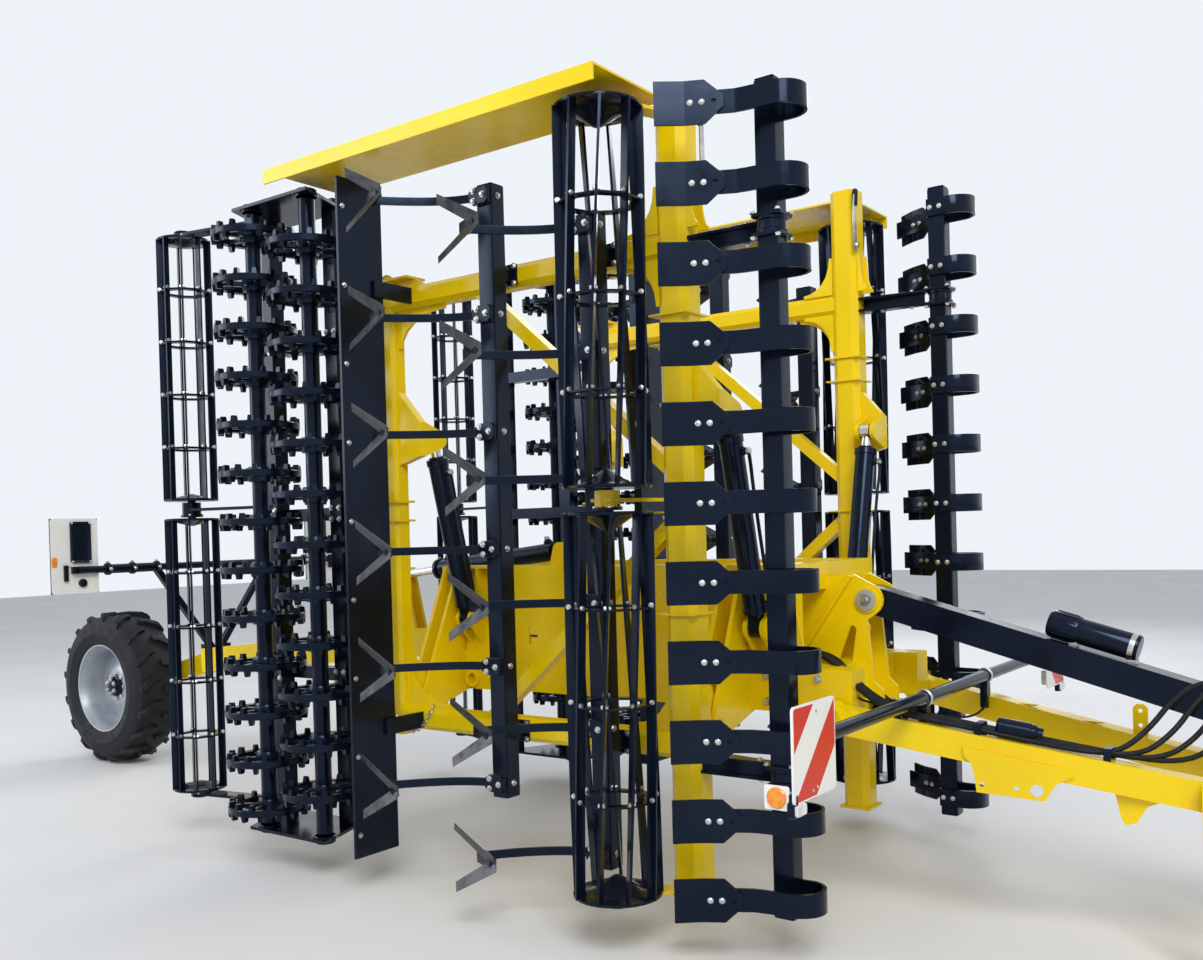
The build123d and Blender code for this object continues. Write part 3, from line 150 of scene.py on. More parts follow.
def rubber(name, dark, light):
    finish, tree, shader, place = new_finish(name)
    tone = noise(tree, place, 14.0, 6.0, 0.6)
    vary(tree, shader.inputs["Base Color"], tone, dark, light)
    vary(tree, shader.inputs["Roughness"], tone, grey(0.5), grey(0.8))
    bump(tree, shader, noise(tree, place, 180.0, 3.0), 0.12, 0.001)
    shader.inputs["Specular IOR Level"].default_value = 0.28
    return finish


def lens(name, deep, pale):
    """Coloured plastic lens with fine ribs."""
    finish, tree, shader, place = new_finish(name)
    vary(tree, shader.inputs["Base Color"], noise(tree, place, 40.0, 2.0), deep, pale)
    ribs = tree.nodes.new("ShaderNodeTexWave")
    ribs.inputs["Scale"].default_value = 70.0
    tree.links.new(place.outputs["Object"], ribs.inputs["Vector"])
    bump(tree, shader, ribs.outputs["Fac"], 0.3, 0.001)
    shader.inputs["Roughness"].default_value = 0.16
    shader.inputs["Coat Weight"].default_value = 0.6
    return finish


def striped_board(name, way):
    """White sheet with slanting red reflective stripes; way turns the slant."""
    finish, tree, shader, place = new_finish(name)
    axes = tree.nodes.new("ShaderNodeSeparateXYZ")
    tree.links.new(place.outputs["Object"], axes.inputs["Vector"])
    across = reckon(tree, "MULTIPLY", axes.outputs["Y"], way)
    slant = reckon(tree, "ADD", across, axes.outputs["Z"])
    step = reckon(tree, "MULTIPLY_ADD", slant, 1.0 / STRIPE_PITCH, STRIPE_START)
    stripe = reckon(tree, "GREATER_THAN", reckon(tree, "FRACT", step), 0.5)
    colour = tree.nodes.new("ShaderNodeMix")
    colour.data_type = "RGBA"
    colour.inputs[6].default_value = (0.80, 0.79, 0.76, 1)
    colour.inputs[7].default_value = (0.62, 0.016, 0.012, 1)
    tree.links.new(stripe, colour.inputs[0])
    tree.links.new(colour.outputs[2], shader.inputs["Base Color"])
    cells = tree.nodes.new("ShaderNodeTexVoronoi")
    cells.inputs["Scale"].default_value = 330.0
    tree.links.new(place.outputs["Object"], cells.inputs["Vector"])
    bump(tree, shader, cells.outputs["Distance"], 0.08, 0.0004)
    shader.inputs["Roughness"].default_value = 0.34
    return finish


yellow = gloss_paint(
    "yellow_paint", (0.80, 0.55, 0.001, 1), (0.88, 0.63, 0.002, 1), 0.20, 0.34, 0.06, 0.30
)
# Black paint: the blue in its base colour and in its specular tint is a painted reflection of the sky
black = gloss_paint(
    "black_paint", (0.002, 0.0034, 0.0085, 1), (0.005, 0.0075, 0.016, 1), 0.13, 0.28, 0.03, 0.26
)
black.node_tree.nodes["Principled BSDF"].inputs["Specular Tint"].default_value = (0.45, 0.64, 1.0, 1)
silver = metal("silver_paint", (0.36, 0.39, 0.43, 1), (0.46, 0.49, 0.53, 1), 0.34, 0.48, 6.0, 0.55)
chrome = metal("rod_chrome", (0.66, 0.67, 0.68, 1), (0.74, 0.75, 0.76, 1), 0.06, 0.12, 4.0)
steel = metal("zinc_steel", (0.46, 0.46, 0.45, 1), (0.68, 0.68, 0.66, 1), 0.24, 0.42, 22.0)
share_steel = metal("share_steel", (0.050, 0.052, 0.056, 1), (0.11, 0.11, 0.12, 1), 0.22, 0.4, 16.0)
tyre_rubber = rubber("tyre_rubber", (0.006, 0.0065, 0.008, 1), (0.014, 0.015, 0.018, 1))
hose_rubber = rubber("hose_rubber", (0.003, 0.0035, 0.0045, 1), (0.007, 0.0075, 0.009, 1))
board_white = gloss_paint("board_white", (0.76, 0.75, 0.71, 1), (0.84, 0.83, 0.80, 1), 0.35, 0.5, 0.0)
stripes_right = striped_board("board_stripes_right", -1.0)
stripes_left = striped_board("board_stripes_left", 1.0)
amber = lens("amber_lens", (0.75, 0.20, 0.008, 1), (0.86, 0.30, 0.015, 1))
red = lens("red_lens", (0.42, 0.008, 0.006, 1), (0.55, 0.016, 0.012, 1))
clear = lens("clear_lens", (0.62, 0.63, 0.62, 1), (0.78, 0.79, 0.78, 1))

# The finishes of each slot of the record; the CAD nodes wear the first
SLOTS = {
    "yellow_paint": (yellow,),
    "black_paint": (black, share_steel),
    "silver_paint": (silver, steel),
    "rod_chrome": (chrome,),
    "tyre_rubber": (tyre_rubber, hose_rubber),
    "board_white": (board_white, stripes_right, stripes_left, amber, red, clear),
}
OTHER_STRIPES = {stripes_right: stripes_left, stripes_left: stripes_right}
for entry in frame["record"]["subparts"]:
    node = frame["nodes"][entry["node"]]
    node.data.materials.clear()
    node.data.materials.append(SLOTS[entry["material_slot"]][0])


# Workshop tools

def at(x, y, z):
    """A station in millimetres as a place in the frame."""
    return Vector(((x + FRAME_SHIFT) / 1000, y / 1000, z / 1000))


def only(piece):
    bpy.ops.object.select_all(action="DESELECT")
    piece.select_set(True)
    bpy.context.view_layer.objects.active = piece


def settle(piece):
    """Leave the piece at the origin, unturned and unscaled, with its place in its mesh."""
    only(piece)
    bpy.ops.object.transform_apply(location=True, rotation=True, scale=True)
    return piece


def open_edit(piece, mode="FACE"):
    only(piece)
    bpy.ops.object.mode_set(mode="EDIT")
    bpy.ops.mesh.select_mode(type=mode)
    bpy.ops.mesh.select_all(action="DESELECT")


def close_edit():
    bpy.ops.object.mode_set(mode="OBJECT")


def take_all():
    bpy.ops.mesh.select_all(action="SELECT")


def face_out():
    """Turn all faces of the piece in edit mode outwards, and close it."""
    take_all()
    bpy.ops.mesh.normals_make_consistent(inside=False)
    close_edit()


def pick(piece, rule):
    """Select the faces whose middle and normal fit the rule."""
    mesh = bmesh.from_edit_mesh(piece.data)
    for face in mesh.faces:
        face.select_set(rule(face.calc_center_median(), face.normal))
    bmesh.update_edit_mesh(piece.data)


def modify(piece, kind, **settings):
    only(piece)
    modifier = piece.modifiers.new(kind.lower(), kind)
    for setting, value in settings.items():
        setattr(modifier, setting, value)
    bpy.ops.object.modifier_apply(modifier=modifier.name)
    return piece


def soften(piece, width, segments=2, angle=40):
    """Break the sharp edges and shade the rest smooth; width in millimetres."""
    if width:
        modify(
            piece, "BEVEL", width=width / 1000, segments=segments,
            limit_method="ANGLE", angle_limit=math.radians(angle),
        )
    only(piece)
    bpy.ops.object.shade_smooth_by_angle(angle=SMOOTH_UP_TO)
    if width:
        modify(piece, "WEIGHTED_NORMAL", keep_sharp=True)
    return piece


def sharp_block(middle, size):
    """A block about its middle, both in metres."""
    bpy.ops.mesh.primitive_cube_add(size=1, location=middle)
    piece = bpy.context.object
    piece.scale = size
    return settle(piece)


def cut_block(name, low, high, edge=2.0):
    """A block between two corners, with broken edges."""
    a, b = at(*low), at(*high)
    piece = sharp_block((a + b) / 2, [abs(v) for v in (b - a)])
    piece.name = name
    return soften(piece, edge)


def draw_outline(name, places, fill="NGON"):
    """A flat outline through places in metres, filled or open."""
    bpy.ops.mesh.primitive_circle_add(vertices=len(places), radius=1, fill_type=fill)
    piece = bpy.context.object
    piece.name = name
    for vertex, place in zip(piece.data.vertices, places):
        vertex.co = place
    return piece


def thicken(move):
    """Push the open sheet out by move, in metres."""
    take_all()
    bpy.ops.mesh.extrude_region_move(TRANSFORM_OT_translate={"value": tuple(move)})


def cut_plate(name, outline, low, high, flat="z", edge=1.5):
    """A plate from its outline; flat is the axis it is thin along, low to high."""
    axis = "xyz".index(flat)
    places = []
    for spot in outline:
        spot = list(spot)
        spot.insert(axis, low)
        places.append(at(*spot))
    piece = draw_outline(name, places)
    move = Vector((0, 0, 0))
    move[axis] = (high - low) / 1000
    open_edit(piece)
    thicken(move)
    face_out()
    settle(piece)
    return soften(piece, edge)


def with_mirror(half, middle=()):
    """An outline from its lower half: the upper half is its mirror image."""
    return list(half) + list(middle) + [(a, -b) for a, b in reversed(half)]


def turn_section(name, section, steps=32):
    """A turned piece about an upright axis at the origin: section of (radius, height)."""
    piece = draw_outline(name, [(radius / 1000, 0, height / 1000) for radius, height in section], "NOTHING")
    open_edit(piece, "VERT")
    take_all()
    bpy.ops.mesh.spin(steps=steps, angle=math.tau, center=(0, 0, 0), axis=(0, 0, 1))
    take_all()
    bpy.ops.mesh.remove_doubles(threshold=0.00002)
    face_out()
    return soften(piece, 0)


def move_to(place, along=(0, 0, 1), spin=0.0):
    """A placing that stands a part's upright axis along a direction at a place."""
    run = Vector(along).normalized()
    turn = Vector((0, 0, 1)).rotation_difference(run).to_matrix().to_4x4()
    return Matrix.Translation(place) @ turn @ Matrix.Rotation(math.radians(spin), 4, "Z")


def turned(name, section, steps, station, along=(0, 0, 1)):
    """A turned piece at a station, with its axis along a direction."""
    piece = turn_section(name, section, steps)
    piece.data.transform(move_to(at(*station), along))
    return piece


def repeat(master, name, places):
    """Copies of one finished part, each with its own mesh, joined to one piece."""
    piece = weld([copy_of(master, name, place) for place in places])
    piece.name = name
    return piece


def weld(pieces):
    """Several parts made one piece."""
    bpy.ops.object.select_all(action="DESELECT")
    for piece in pieces:
        piece.select_set(True)
    bpy.context.view_layer.objects.active = pieces[0]
    if len(pieces) > 1:
        bpy.ops.object.join()
    return pieces[0]


def scrap(*parts):
    for part in parts:
        bpy.data.objects.remove(part)


def copy_of(piece, name, place):
    """A copy with its own mesh, moved by a placing."""
    copy = piece.copy()
    copy.data = piece.data.copy()
    copy.name = name
    copy.data.transform(place)
    if place.determinant() < 0:
        copy.data.flip_normals()
    bpy.context.collection.objects.link(copy)
    return copy


def mirrored(piece, name):
    return copy_of(piece, name, Matrix.Diagonal((1, -1, 1, 1)))


def fit(piece, body, finish):
    """Give a piece its finish and the body that it moves with."""
    piece.data.materials.clear()
    piece.data.materials.append(finish)
    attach(piece, body)
    return piece


def fit_as(name, parts, body, finish):
    """Weld parts to one named piece and fit it."""
    piece = fit(weld(parts), body, finish)
    piece.name = name
    return piece


def fit_pair(piece, name, finish, body="wing", node=None):
    """Fit a right-hand piece and its mirror image; node names the CAD pair that they replace."""
    piece.name = name + "_right"
    other = mirrored(piece, name + "_left")
    for half, side in ((piece, "_right"), (other, "_left")):
        fit(half, body + side, finish)
        if node:
            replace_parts(half, node + side)


def fit_both_sides(pieces, body):
    """Fit right-hand pieces and their mirror images on one body; stripes lean the other way."""
    for piece, finish in pieces:
        other = mirrored(piece, piece.name.replace("_right", "_left"))
        fit(piece, body, finish)
        fit(other, body, OTHER_STRIPES.get(finish, finish))


def pipe(name, points, radius, sides=10):
    """A pipe or held hose along a smooth line; points and radius in millimetres."""
    line = bpy.data.curves.new(name, "CURVE")
    line.dimensions = "3D"
    line.bevel_depth = radius / 1000
    line.bevel_resolution = max(1, sides // 4)
    line.resolution_u = 6
    line.use_fill_caps = True
    run = line.splines.new("NURBS")
    run.points.add(len(points) - 1)
    for control, point in zip(run.points, points):
        control.co = (*at(*point), 1)
    run.order_u = 3
    run.use_endpoint_u = True
    piece = bpy.data.objects.new(name, line)
    bpy.context.collection.objects.link(piece)
    only(piece)
    bpy.ops.object.convert(target="MESH")
    bpy.ops.object.shade_smooth_by_angle(angle=math.radians(50))
    return piece


# Bolts

def bolt_step(sides, radius, low, high, chamfer, rise):
    """One step of a bolt, in metres, with the edge of its outer face broken."""
    bpy.ops.mesh.primitive_cylinder_add(
        vertices=sides, radius=radius, depth=high - low, location=(0, 0, (low + high) / 2),
    )
    step = bpy.context.object
    open_edit(step)
    pick(step, lambda middle, normal: normal.z > 0.9)
    bpy.ops.mesh.inset(thickness=chamfer)
    bpy.ops.transform.translate(value=(0, 0, rise))
    close_edit()
    return settle(step)


def make_bolt():
    """Hexagon head on a washer, 21 mm across its corners."""
    head = bolt_step(6, 0.0105, 0.003, 0.011, 0.0018, 0.0012)
    washer = bolt_step(14, 0.014, 0.0, 0.003, 0.0008, 0.0)
    bolt = weld([head, washer])
    bolt.name = "bolt_master"
    return bolt


def make_round_bolt():
    """Low round head, as on the paddles."""
    section = [(0.01, 0), (11, 0), (11, 1.6), (8.5, 4.2), (4.5, 5.6), (0.01, 6.0)]
    return turn_section("round_bolt_master", section, 12)


bolt_master = make_bolt()
round_bolt_master = make_round_bolt()


def bolts(name, rows, size=1.0, master=None):
    """Bolts at places in millimetres, each with the way its head points."""
    scale = Matrix.Scale(size, 4)
    places = [move_to(at(*place), way, spin) @ scale for place, way, spin in rows]
    return repeat(master or bolt_master, name, places)


def fasten_pair(name, rows, size, body="wing", master=None):
    """Zinc bolts on the right, and their mirror image on the left."""
    fit_pair(bolts(name, rows, size, master), name, steel, body)


# Crosskill rollers

KILL_Y = 1090.0
KILL_R = 184.0
KILL_ROWS = (("rear", -2505.0, 13, 0.0), ("front", -2125.0, 12, 0.5))
KILL_SHAFT_Z = (WING_LOW + 65.0, WING_HIGH - 70.0)
KILL_FIRST_Z = KILL_SHAFT_Z[0] + 77.0
KILL_PITCH = (KILL_SHAFT_Z[1] - 99.0 - KILL_FIRST_Z) / 12
KILL_TEETH = 28
KILL_TURN = 0.37
HOUSING_GAP = 8.0
HOUSING_R = 54.0
HOUSING_H = 34.0


def make_kill_tooth():
    """One cast tooth: stands on the rim, narrower towards its end."""
    tooth = sharp_block((0.169, 0, 0.026), (0.029, 0.022, 0.026))
    open_edit(tooth)
    pick(tooth, lambda middle, normal: normal.z > 0.9)
    bpy.ops.transform.resize(value=(0.78, 0.72, 1.0))
    close_edit()
    return tooth


def make_kill_ring():
    """Cast ring: tall rim, five spokes and hub, with teeth up and down by turns."""
    rim_half = [(150, -14), (174, -17), (KILL_R - 3, -15), (KILL_R, -11)]
    ring = turn_section("kill_rim", with_mirror(rim_half), 40)
    hub = turn_section("kill_hub", with_mirror([(37, -34), (50, -34), (56, -20)]), 16)
    spoke = soften(sharp_block((0.100, 0, 0), (0.104, 0.030, 0.022)), 4.0, 1)
    spokes = repeat(spoke, "kill_spokes", [Matrix.Rotation(math.tau * i / 5, 4, "Z") for i in range(5)])
    tooth = make_kill_tooth()
    places = []
    for i in range(KILL_TEETH):
        turn = Matrix.Rotation(math.tau * i / KILL_TEETH, 4, "Z")
        flip = Matrix.Identity(4) if i % 2 else Matrix.Rotation(math.pi, 4, "X")
        places.append(turn @ flip)
    teeth = repeat(tooth, "kill_teeth", places)
    scrap(tooth, spoke)
    return weld([ring, hub, spokes, teeth])


def make_bearing():
    """Bearing housing: flanged round body with a cover and a grease nipple."""
    section = [
        (21, 0), (HOUSING_R, 0), (HOUSING_R, 8), (HOUSING_R - 9, 11), (HOUSING_R - 11, HOUSING_H - 4),
        (HOUSING_R - 14, HOUSING_H), (24, HOUSING_H), (21, HOUSING_H - 3),
    ]
    body = turn_section("housing", section, 24)
    nipple = turn_section("nipple", [(0.01, 0), (4, 0), (4, 5), (2.5, 6), (3.5, 9), (0.01, 11)], 8)
    nipple.data.transform(move_to(Vector((HOUSING_R - 12, 0, HOUSING_H / 2)) / 1000, (1, 0, 0)))
    return weld([body, nipple])


def crosskill_rollers():
    ring = make_kill_ring()
    low, high = KILL_SHAFT_Z
    for row, x, count, stagger in KILL_ROWS:
        places = []
        for i in range(count):
            z = KILL_FIRST_Z + (i + stagger) * KILL_PITCH
            places.append(Matrix.Translation(at(x, -KILL_Y, z)) @ Matrix.Rotation(KILL_TURN * i, 4, "Z"))
        parts = [repeat(ring, "rings", places)]
        for name, radius, reach, sides in (("shaft", 36, 0, 20), ("stub", 20, 36, 16)):
            edge = 3 if name == "shaft" else 2
            first, last = low - reach, high + reach
            section = [
                (0.01, first), (radius - edge, first), (radius, first + 3),
                (radius, last - 3), (radius - edge, last), (0.01, last),
            ]
            parts.append(turned(name, section, sides, (x, -KILL_Y, 0)))
        name = "crosskill_" + row
        fit_pair(weld(parts), "crosskill_rings_" + row, black, name, name)
    scrap(ring)


# Front bar roller

BAR_ROLLER_X = -546.0
BAR_ROLLER_Y = 1084.0
BAR_ROLLER_R = 162.0
BAR_ROLLER_BARS = 9
BAR_ROLLER_TWIST = 30.0
BAR_ROLLER_SPANS = (
    ("lower", WING_LOW + 60.0, WING_MID_Z - 43.0),
    ("upper", WING_MID_Z + 43.0, WING_HIGH - 51.0),
)


def make_twisted_bar(low, high, twist, radius, thick, deep):
    """Flat bar that winds round the roller's axis from low to high."""
    length = (high - low) / 1000
    strip = sharp_block((radius / 1000, 0, length / 2), (deep / 1000, thick / 1000, length))
    rows = 18
    for i in range(1, rows):
        open_edit(strip)
        take_all()
        bpy.ops.mesh.bisect(plane_co=(0, 0, length * i / rows), plane_no=(0, 0, 1))
        close_edit()
    for vertex in strip.data.vertices:
        turn = Matrix.Rotation(math.radians(twist) * vertex.co.z / length, 3, "Z")
        vertex.co = turn @ vertex.co
    return soften(strip, 0)


def make_roller_end(radius, dish):
    """End disc with a turned-up edge and a dished middle that points into the roller."""
    section = [
        (0.01, dish), (14, dish), (22, dish - 4), (radius * 0.52, 20), (radius * 0.66, 9), (radius - 3, 9),
        (radius, 7), (radius, -1), (radius - 3, -3), (26, -3), (22, 0), (20, 0), (0.01, 0),
    ]
    return turn_section("roller_end", section, 36)


def make_ring(radius, inner, thick, sides):
    """Flat many-sided ring between the bars."""
    return turn_section("roller_ring", with_mirror([(inner, -thick / 2), (radius, -thick / 2)]), sides)


def roller(name, span, x, y, radius, count, twist, bar_size, rings):
    """One section: bars on rings, end discs and stubs; its body and its node share its name."""
    low, high = span
    thick, deep = bar_size
    mid_r = radius - deep / 2
    strip = make_twisted_bar(low + 2, high - 2, twist, mid_r, thick, deep)
    foot = at(x, -y, low + 2)
    parts = [repeat(strip, "bars", [move_to(foot, spin=360 * i / count) for i in range(count)])]
    end = make_roller_end(radius - 3, 66 if twist else 34)
    parts.append(copy_of(end, "end_low", move_to(foot)))
    parts.append(copy_of(end, "end_high", move_to(at(x, -y, high - 2), (0, 0, -1))))
    ring = make_ring(mid_r + deep * 0.18, mid_r - deep * 0.9, 8 if twist else 10, count)
    heads = []
    for i in range(1, rings + 1):
        share = i / (rings + 1)
        z = low + (high - low) * share
        parts.append(copy_of(ring, "ring", move_to(at(x, -y, z), spin=twist * share)))
        for k in range(count):
            angle = math.radians(twist) * share + math.tau * k / count
            out = Vector((math.cos(angle), math.sin(angle), 0))
            side = Vector((-out.y, out.x, 0))
            spot = Vector((x, -y, z + 9)) + out * (mid_r + 4) + side * thick / 2
            heads.append((spot, side, 0))
            heads.append((spot - side * thick, -side, 30))
    stub = [(0.01, -14), (20, -14), (20, 33), (18, 36), (0.01, 36)]
    for z, way in ((low, -1), (high, 1)):
        parts.append(turned("stub", stub, 16, (x, -y, z), (0, 0, way)))
    scrap(strip, end, ring)
    fit_pair(weld(parts), name + "_bars", black, name, name)
    fasten_pair(name + "_bars_bolts", heads, 0.7, name)


# Rear string roller

STRING_X = -3231.0
STRING_Y = 962.0
STRING_R = 132.0
STRING_BARS = 9
STRING_SPANS = (
    ("lower", WING_LOW + 115.0, WING_MID_Z + 8.0),
    ("upper", WING_MID_Z + 97.0, WING_HIGH - 37.0),
)


def all_rollers():
    for part, low, high in BAR_ROLLER_SPANS:
        roller(
            "bar_roller_" + part, (low, high), BAR_ROLLER_X, BAR_ROLLER_Y, BAR_ROLLER_R + 2,
            BAR_ROLLER_BARS, BAR_ROLLER_TWIST, (10, 36), 3,
        )
    for part, low, high in STRING_SPANS:
        roller(
            "string_roller_" + part, (low, high), STRING_X, STRING_Y, STRING_R, STRING_BARS, 0.0, (8, 30), 4,
        )
    crosskill_rollers()


def bearings():
    """Housings where the rollers' stubs run, on the wing."""
    rows = []
    for x, y, spans in (
        (BAR_ROLLER_X, BAR_ROLLER_Y, BAR_ROLLER_SPANS),
        (STRING_X, STRING_Y, STRING_SPANS),
        (KILL_ROWS[0][1], KILL_Y, (("row", *KILL_SHAFT_Z),)),
        (KILL_ROWS[1][1], KILL_Y, (("row", *KILL_SHAFT_Z),)),
    ):
        low, high = spans[0][1], spans[-1][2]
        rows.append((x, y, low - HOUSING_GAP, (0, 0, -1)))
        rows.append((x, y, high + HOUSING_GAP, (0, 0, 1)))
        if len(spans) == 2:
            rows.append((x, y, spans[0][2] + HOUSING_GAP, (0, 0, 1)))
    housing = make_bearing()
    piece = repeat(housing, "bearing_housings", [move_to(at(x, -y, z), way) for x, y, z, way in rows])
    heads = []
    for x, y, z, way in rows:
        for k in range(4):
            angle = math.radians(45 + 90 * k)
            spot = (x + 47 * math.cos(angle), -y + 47 * math.sin(angle), z + way[2] * 8)
            heads.append((spot, way, 10 * k))
    fit_pair(piece, "bearing_housings", black)
    fasten_pair("housing_bolts", heads, 0.6)
    scrap(housing)


# Front leveller

LEVEL_Y = 826.0
LEVEL_BAR = 80.0
PADDLES = 11
PADDLE_TOP_Z = WING_HIGH - 109.0
PADDLE_PITCH = (PADDLE_TOP_Z - WING_LOW - 86.0) / (PADDLES - 1)
SPRING_H = 80.0
SPRING_T = 12.0
SPRING_R = 84.0
SPRING_BACK = 300.0
SPRING_OUT = 262.0
LEVEL_ARM_GAPS = (1.5, 8.5)


def ribbon(points, half):
    """Outline of a strip that follows points, with half its thickness on each side."""
    left = []
    right = []
    for i, (x, y) in enumerate(points):
        before = points[max(i - 1, 0)]
        after = points[min(i + 1, len(points) - 1)]
        run = math.dist(before, after)
        across = ((before[1] - after[1]) / run * half, (after[0] - before[0]) / run * half)
        left.append((x + across[0], y + across[1]))
        right.append((x - across[0], y - across[1]))
    return left + right[::-1]


def spring_line():
    """Middle line of one C spring, seen from above, and the way of its straight end."""
    turn_x = LEVEL_BAR / 2 + 25
    inner_y = -LEVEL_Y + LEVEL_BAR / 2 + SPRING_T / 2
    outer_y = inner_y - 2 * SPRING_R
    bend = (-60.0, outer_y - 14)
    tip = (-SPRING_BACK, -LEVEL_Y - SPRING_OUT)
    line = [(-LEVEL_BAR / 2, inner_y), (LEVEL_BAR / 2, inner_y)]
    for i in range(19):
        angle = math.radians(90 - 10 * i)
        line.append((turn_x + SPRING_R * math.cos(angle), inner_y - SPRING_R + SPRING_R * math.sin(angle)))
    line += [(10.0, outer_y - 3), (-30.0, outer_y - 8), bend, tip]
    return line, Vector((bend[0] - tip[0], bend[1] - tip[1], 0)).normalized(), tip


def make_paddle():
    """Paddle in its own place: along x from the spring's end, outside facing up."""
    outline = [(0, -75), (0, 75), (100, 75), (172, 75), (235, 20), (235, -20), (172, -75), (100, -75)]
    paddle = draw_outline("paddle", [(a / 1000, b / 1000, 0) for a, b in outline])
    open_edit(paddle)
    for fold in (0.088, 0.104):
        take_all()
        bpy.ops.mesh.bisect(plane_co=(fold, 0, 0), plane_no=(1, 0, 0))
    thicken((0, 0, 0.008))
    face_out()
    for vertex in paddle.data.vertices:
        before = max(0.0, 0.096 - vertex.co.x)
        vertex.co.z += before * 0.20
    drill = turn_section("drill", [(0.01, -20), (8, -20), (8, 40), (0.01, 40)], 20)
    drill.data.transform(Matrix.Translation((0.203, 0, 0)))
    modify(paddle, "BOOLEAN", operation="DIFFERENCE", object=drill, solver="EXACT")
    scrap(drill)
    return soften(paddle, 1.2)


def levellers():
    line, run, tip = spring_line()
    half = SPRING_H / 2
    strip = cut_plate("spring_strip", ribbon(line, SPRING_T / 2), -half, half, "z", 1.5)
    out = Vector((run.y, -run.x, 0))
    paddle = make_paddle()
    # the paddle's x runs forwards along the spring, its outside faces out
    turn = Matrix((run, Vector((0, 0, 1)), out)).transposed().to_4x4()
    start = Vector(tip).to_3d() + out * (SPRING_T / 2)
    paddle.data.transform(Matrix.Translation(at(*start)) @ turn)
    strip = weld([strip, paddle])
    heights = [PADDLE_TOP_Z - i * PADDLE_PITCH for i in range(PADDLES)]
    parts = [repeat(strip, "springs", [Matrix.Translation((0, 0, z / 1000)) for z in heights])]
    scrap(strip)
    side = LEVEL_BAR / 2
    top = PADDLE_TOP_Z + 93
    for name, reach, low, high, edge in (
        ("leveller_tube", side, WING_LOW, top, 9.0),
        ("leveller_cap", side - 4, top - 1, top + 4, 2.0),
    ):
        corner = (reach, -LEVEL_Y + reach, high)
        parts.append(cut_block(name, (-reach, -LEVEL_Y - reach, low), corner, edge))
    nuts = []
    for gap in LEVEL_ARM_GAPS:
        parts += leveller_arm(PADDLE_TOP_Z - gap * PADDLE_PITCH, FRONT_TUBE_X + 65, nuts)
    fit_pair(weld(parts), "leveller_springs", black, node="leveller")
    round_heads = []
    for z in heights:
        for along in (122, 162):
            spot = start + run * along + Vector((0, 0, z))
            round_heads.append((spot + out * 8, out, 0))
            nuts.append((spot - out * SPRING_T, -out, 20))
        for x in (-22, 22):
            nuts.append(((x, -LEVEL_Y + side + SPRING_T, z), (0, 1, 0), 10))
    fasten_pair("paddle_bolts", round_heads, 1.0, master=round_bolt_master)
    fasten_pair("paddle_nuts", nuts, 0.8)


def leveller_arm(z, tube_face, heads):
    """Two clamp flanges round the leveller's tube, a sleeve between them and a forked arm."""
    parts = []
    wide = LEVEL_BAR / 2 + 17
    near = wide - 12
    eight_sided = [
        (-wide, -near), (-near, -wide), (near, -wide), (wide, -near),
        (wide, near), (near, wide), (-near, wide), (-wide, near),
    ]
    for level in (-40, 28):
        outline = [(x, y - LEVEL_Y) for x, y in eight_sided]
        parts.append(cut_plate("clamp_flange", outline, z + level, z + level + 12))
        face = level + 12 if level > 0 else level
        for a, b in CORNERS:
            spot = (a * (wide - 9), -LEVEL_Y + b * (wide - 9), z + face)
            heads.append((spot, (0, 0, level), 15))
    section = with_mirror([(40, -28), (56, -28), (56, -18), (51, -14)])
    parts.append(turned("sleeve", section, 28, (0, -LEVEL_Y, z)))
    for level in (-34, 22):
        outline = [
            (tube_face, -FRAME_Y - 46), (-44, -LEVEL_Y + 20), (-44, -LEVEL_Y + 50),
            (-90, -LEVEL_Y + 62), (tube_face, -FRAME_Y + 40),
        ]
        parts.append(cut_plate("fork_plate", outline, z + level, z + level + 12))
    for x, y in ((tube_face + 40, -FRAME_Y), (tube_face + 105, -FRAME_Y - 2), (-120, -LEVEL_Y + 42)):
        heads.append(((x, y, z + 34), (0, 0, 1), 12))
        heads.append(((x, y, z - 34), (0, 0, -1), 40))
    web = (tube_face, -FRAME_Y - 34, z - 24), (-60, -FRAME_Y - 24, z + 24)
    parts.append(cut_block("fork_web", *web, 2.0))
    return parts


# Tines

TINE_ROWS = (
    (-1220.0, WING_LOW + 355.0, WING_HIGH - 200.0),
    (-715.0, WING_LOW + 144.0, WING_HIGH - 405.0),
)
TINE_BAR = 80.0
TINE_BAR_Y = 905.0
TINE_FACE_Y = -TINE_BAR_Y - TINE_BAR / 2
TINES = 6
TINE_OUT = 300.0
TINE_BACK = 385.0
SWEEP_APEX = (-252.0, -357.0)
SWEEP_HALF = 122.0
SWEEP_BACK = 205.0


def make_tine():
    """Spring tine at the bar's own place: the strip bows back and out to its end."""
    start = (-50.0, TINE_FACE_Y - 6)
    end = (-TINE_BACK, -TINE_BAR_Y - TINE_OUT)
    line = [(30.0, start[1])]
    for i in range(15):
        share = i / 14
        line.append((start[0] + (end[0] - start[0]) * share, start[1] + (end[1] - start[1]) * share ** 1.7))
    return cut_plate("tine_strip", ribbon(line, 6.0), -16, 16, "z", 1.5), end


def make_tine_clamp():
    """Pressed plate over the tine, on its block."""
    outline = with_mirror([(-62, -20), (-42, -34), (22, -34), (34, -22)])
    plate = cut_plate("clamp", outline, TINE_FACE_Y - 22, TINE_FACE_Y - 12, "y", 2.0)
    back = cut_block("clamp_back", (-50, TINE_FACE_Y - 13, -34), (34, TINE_FACE_Y, 34), 2.0)
    return weld([plate, back])


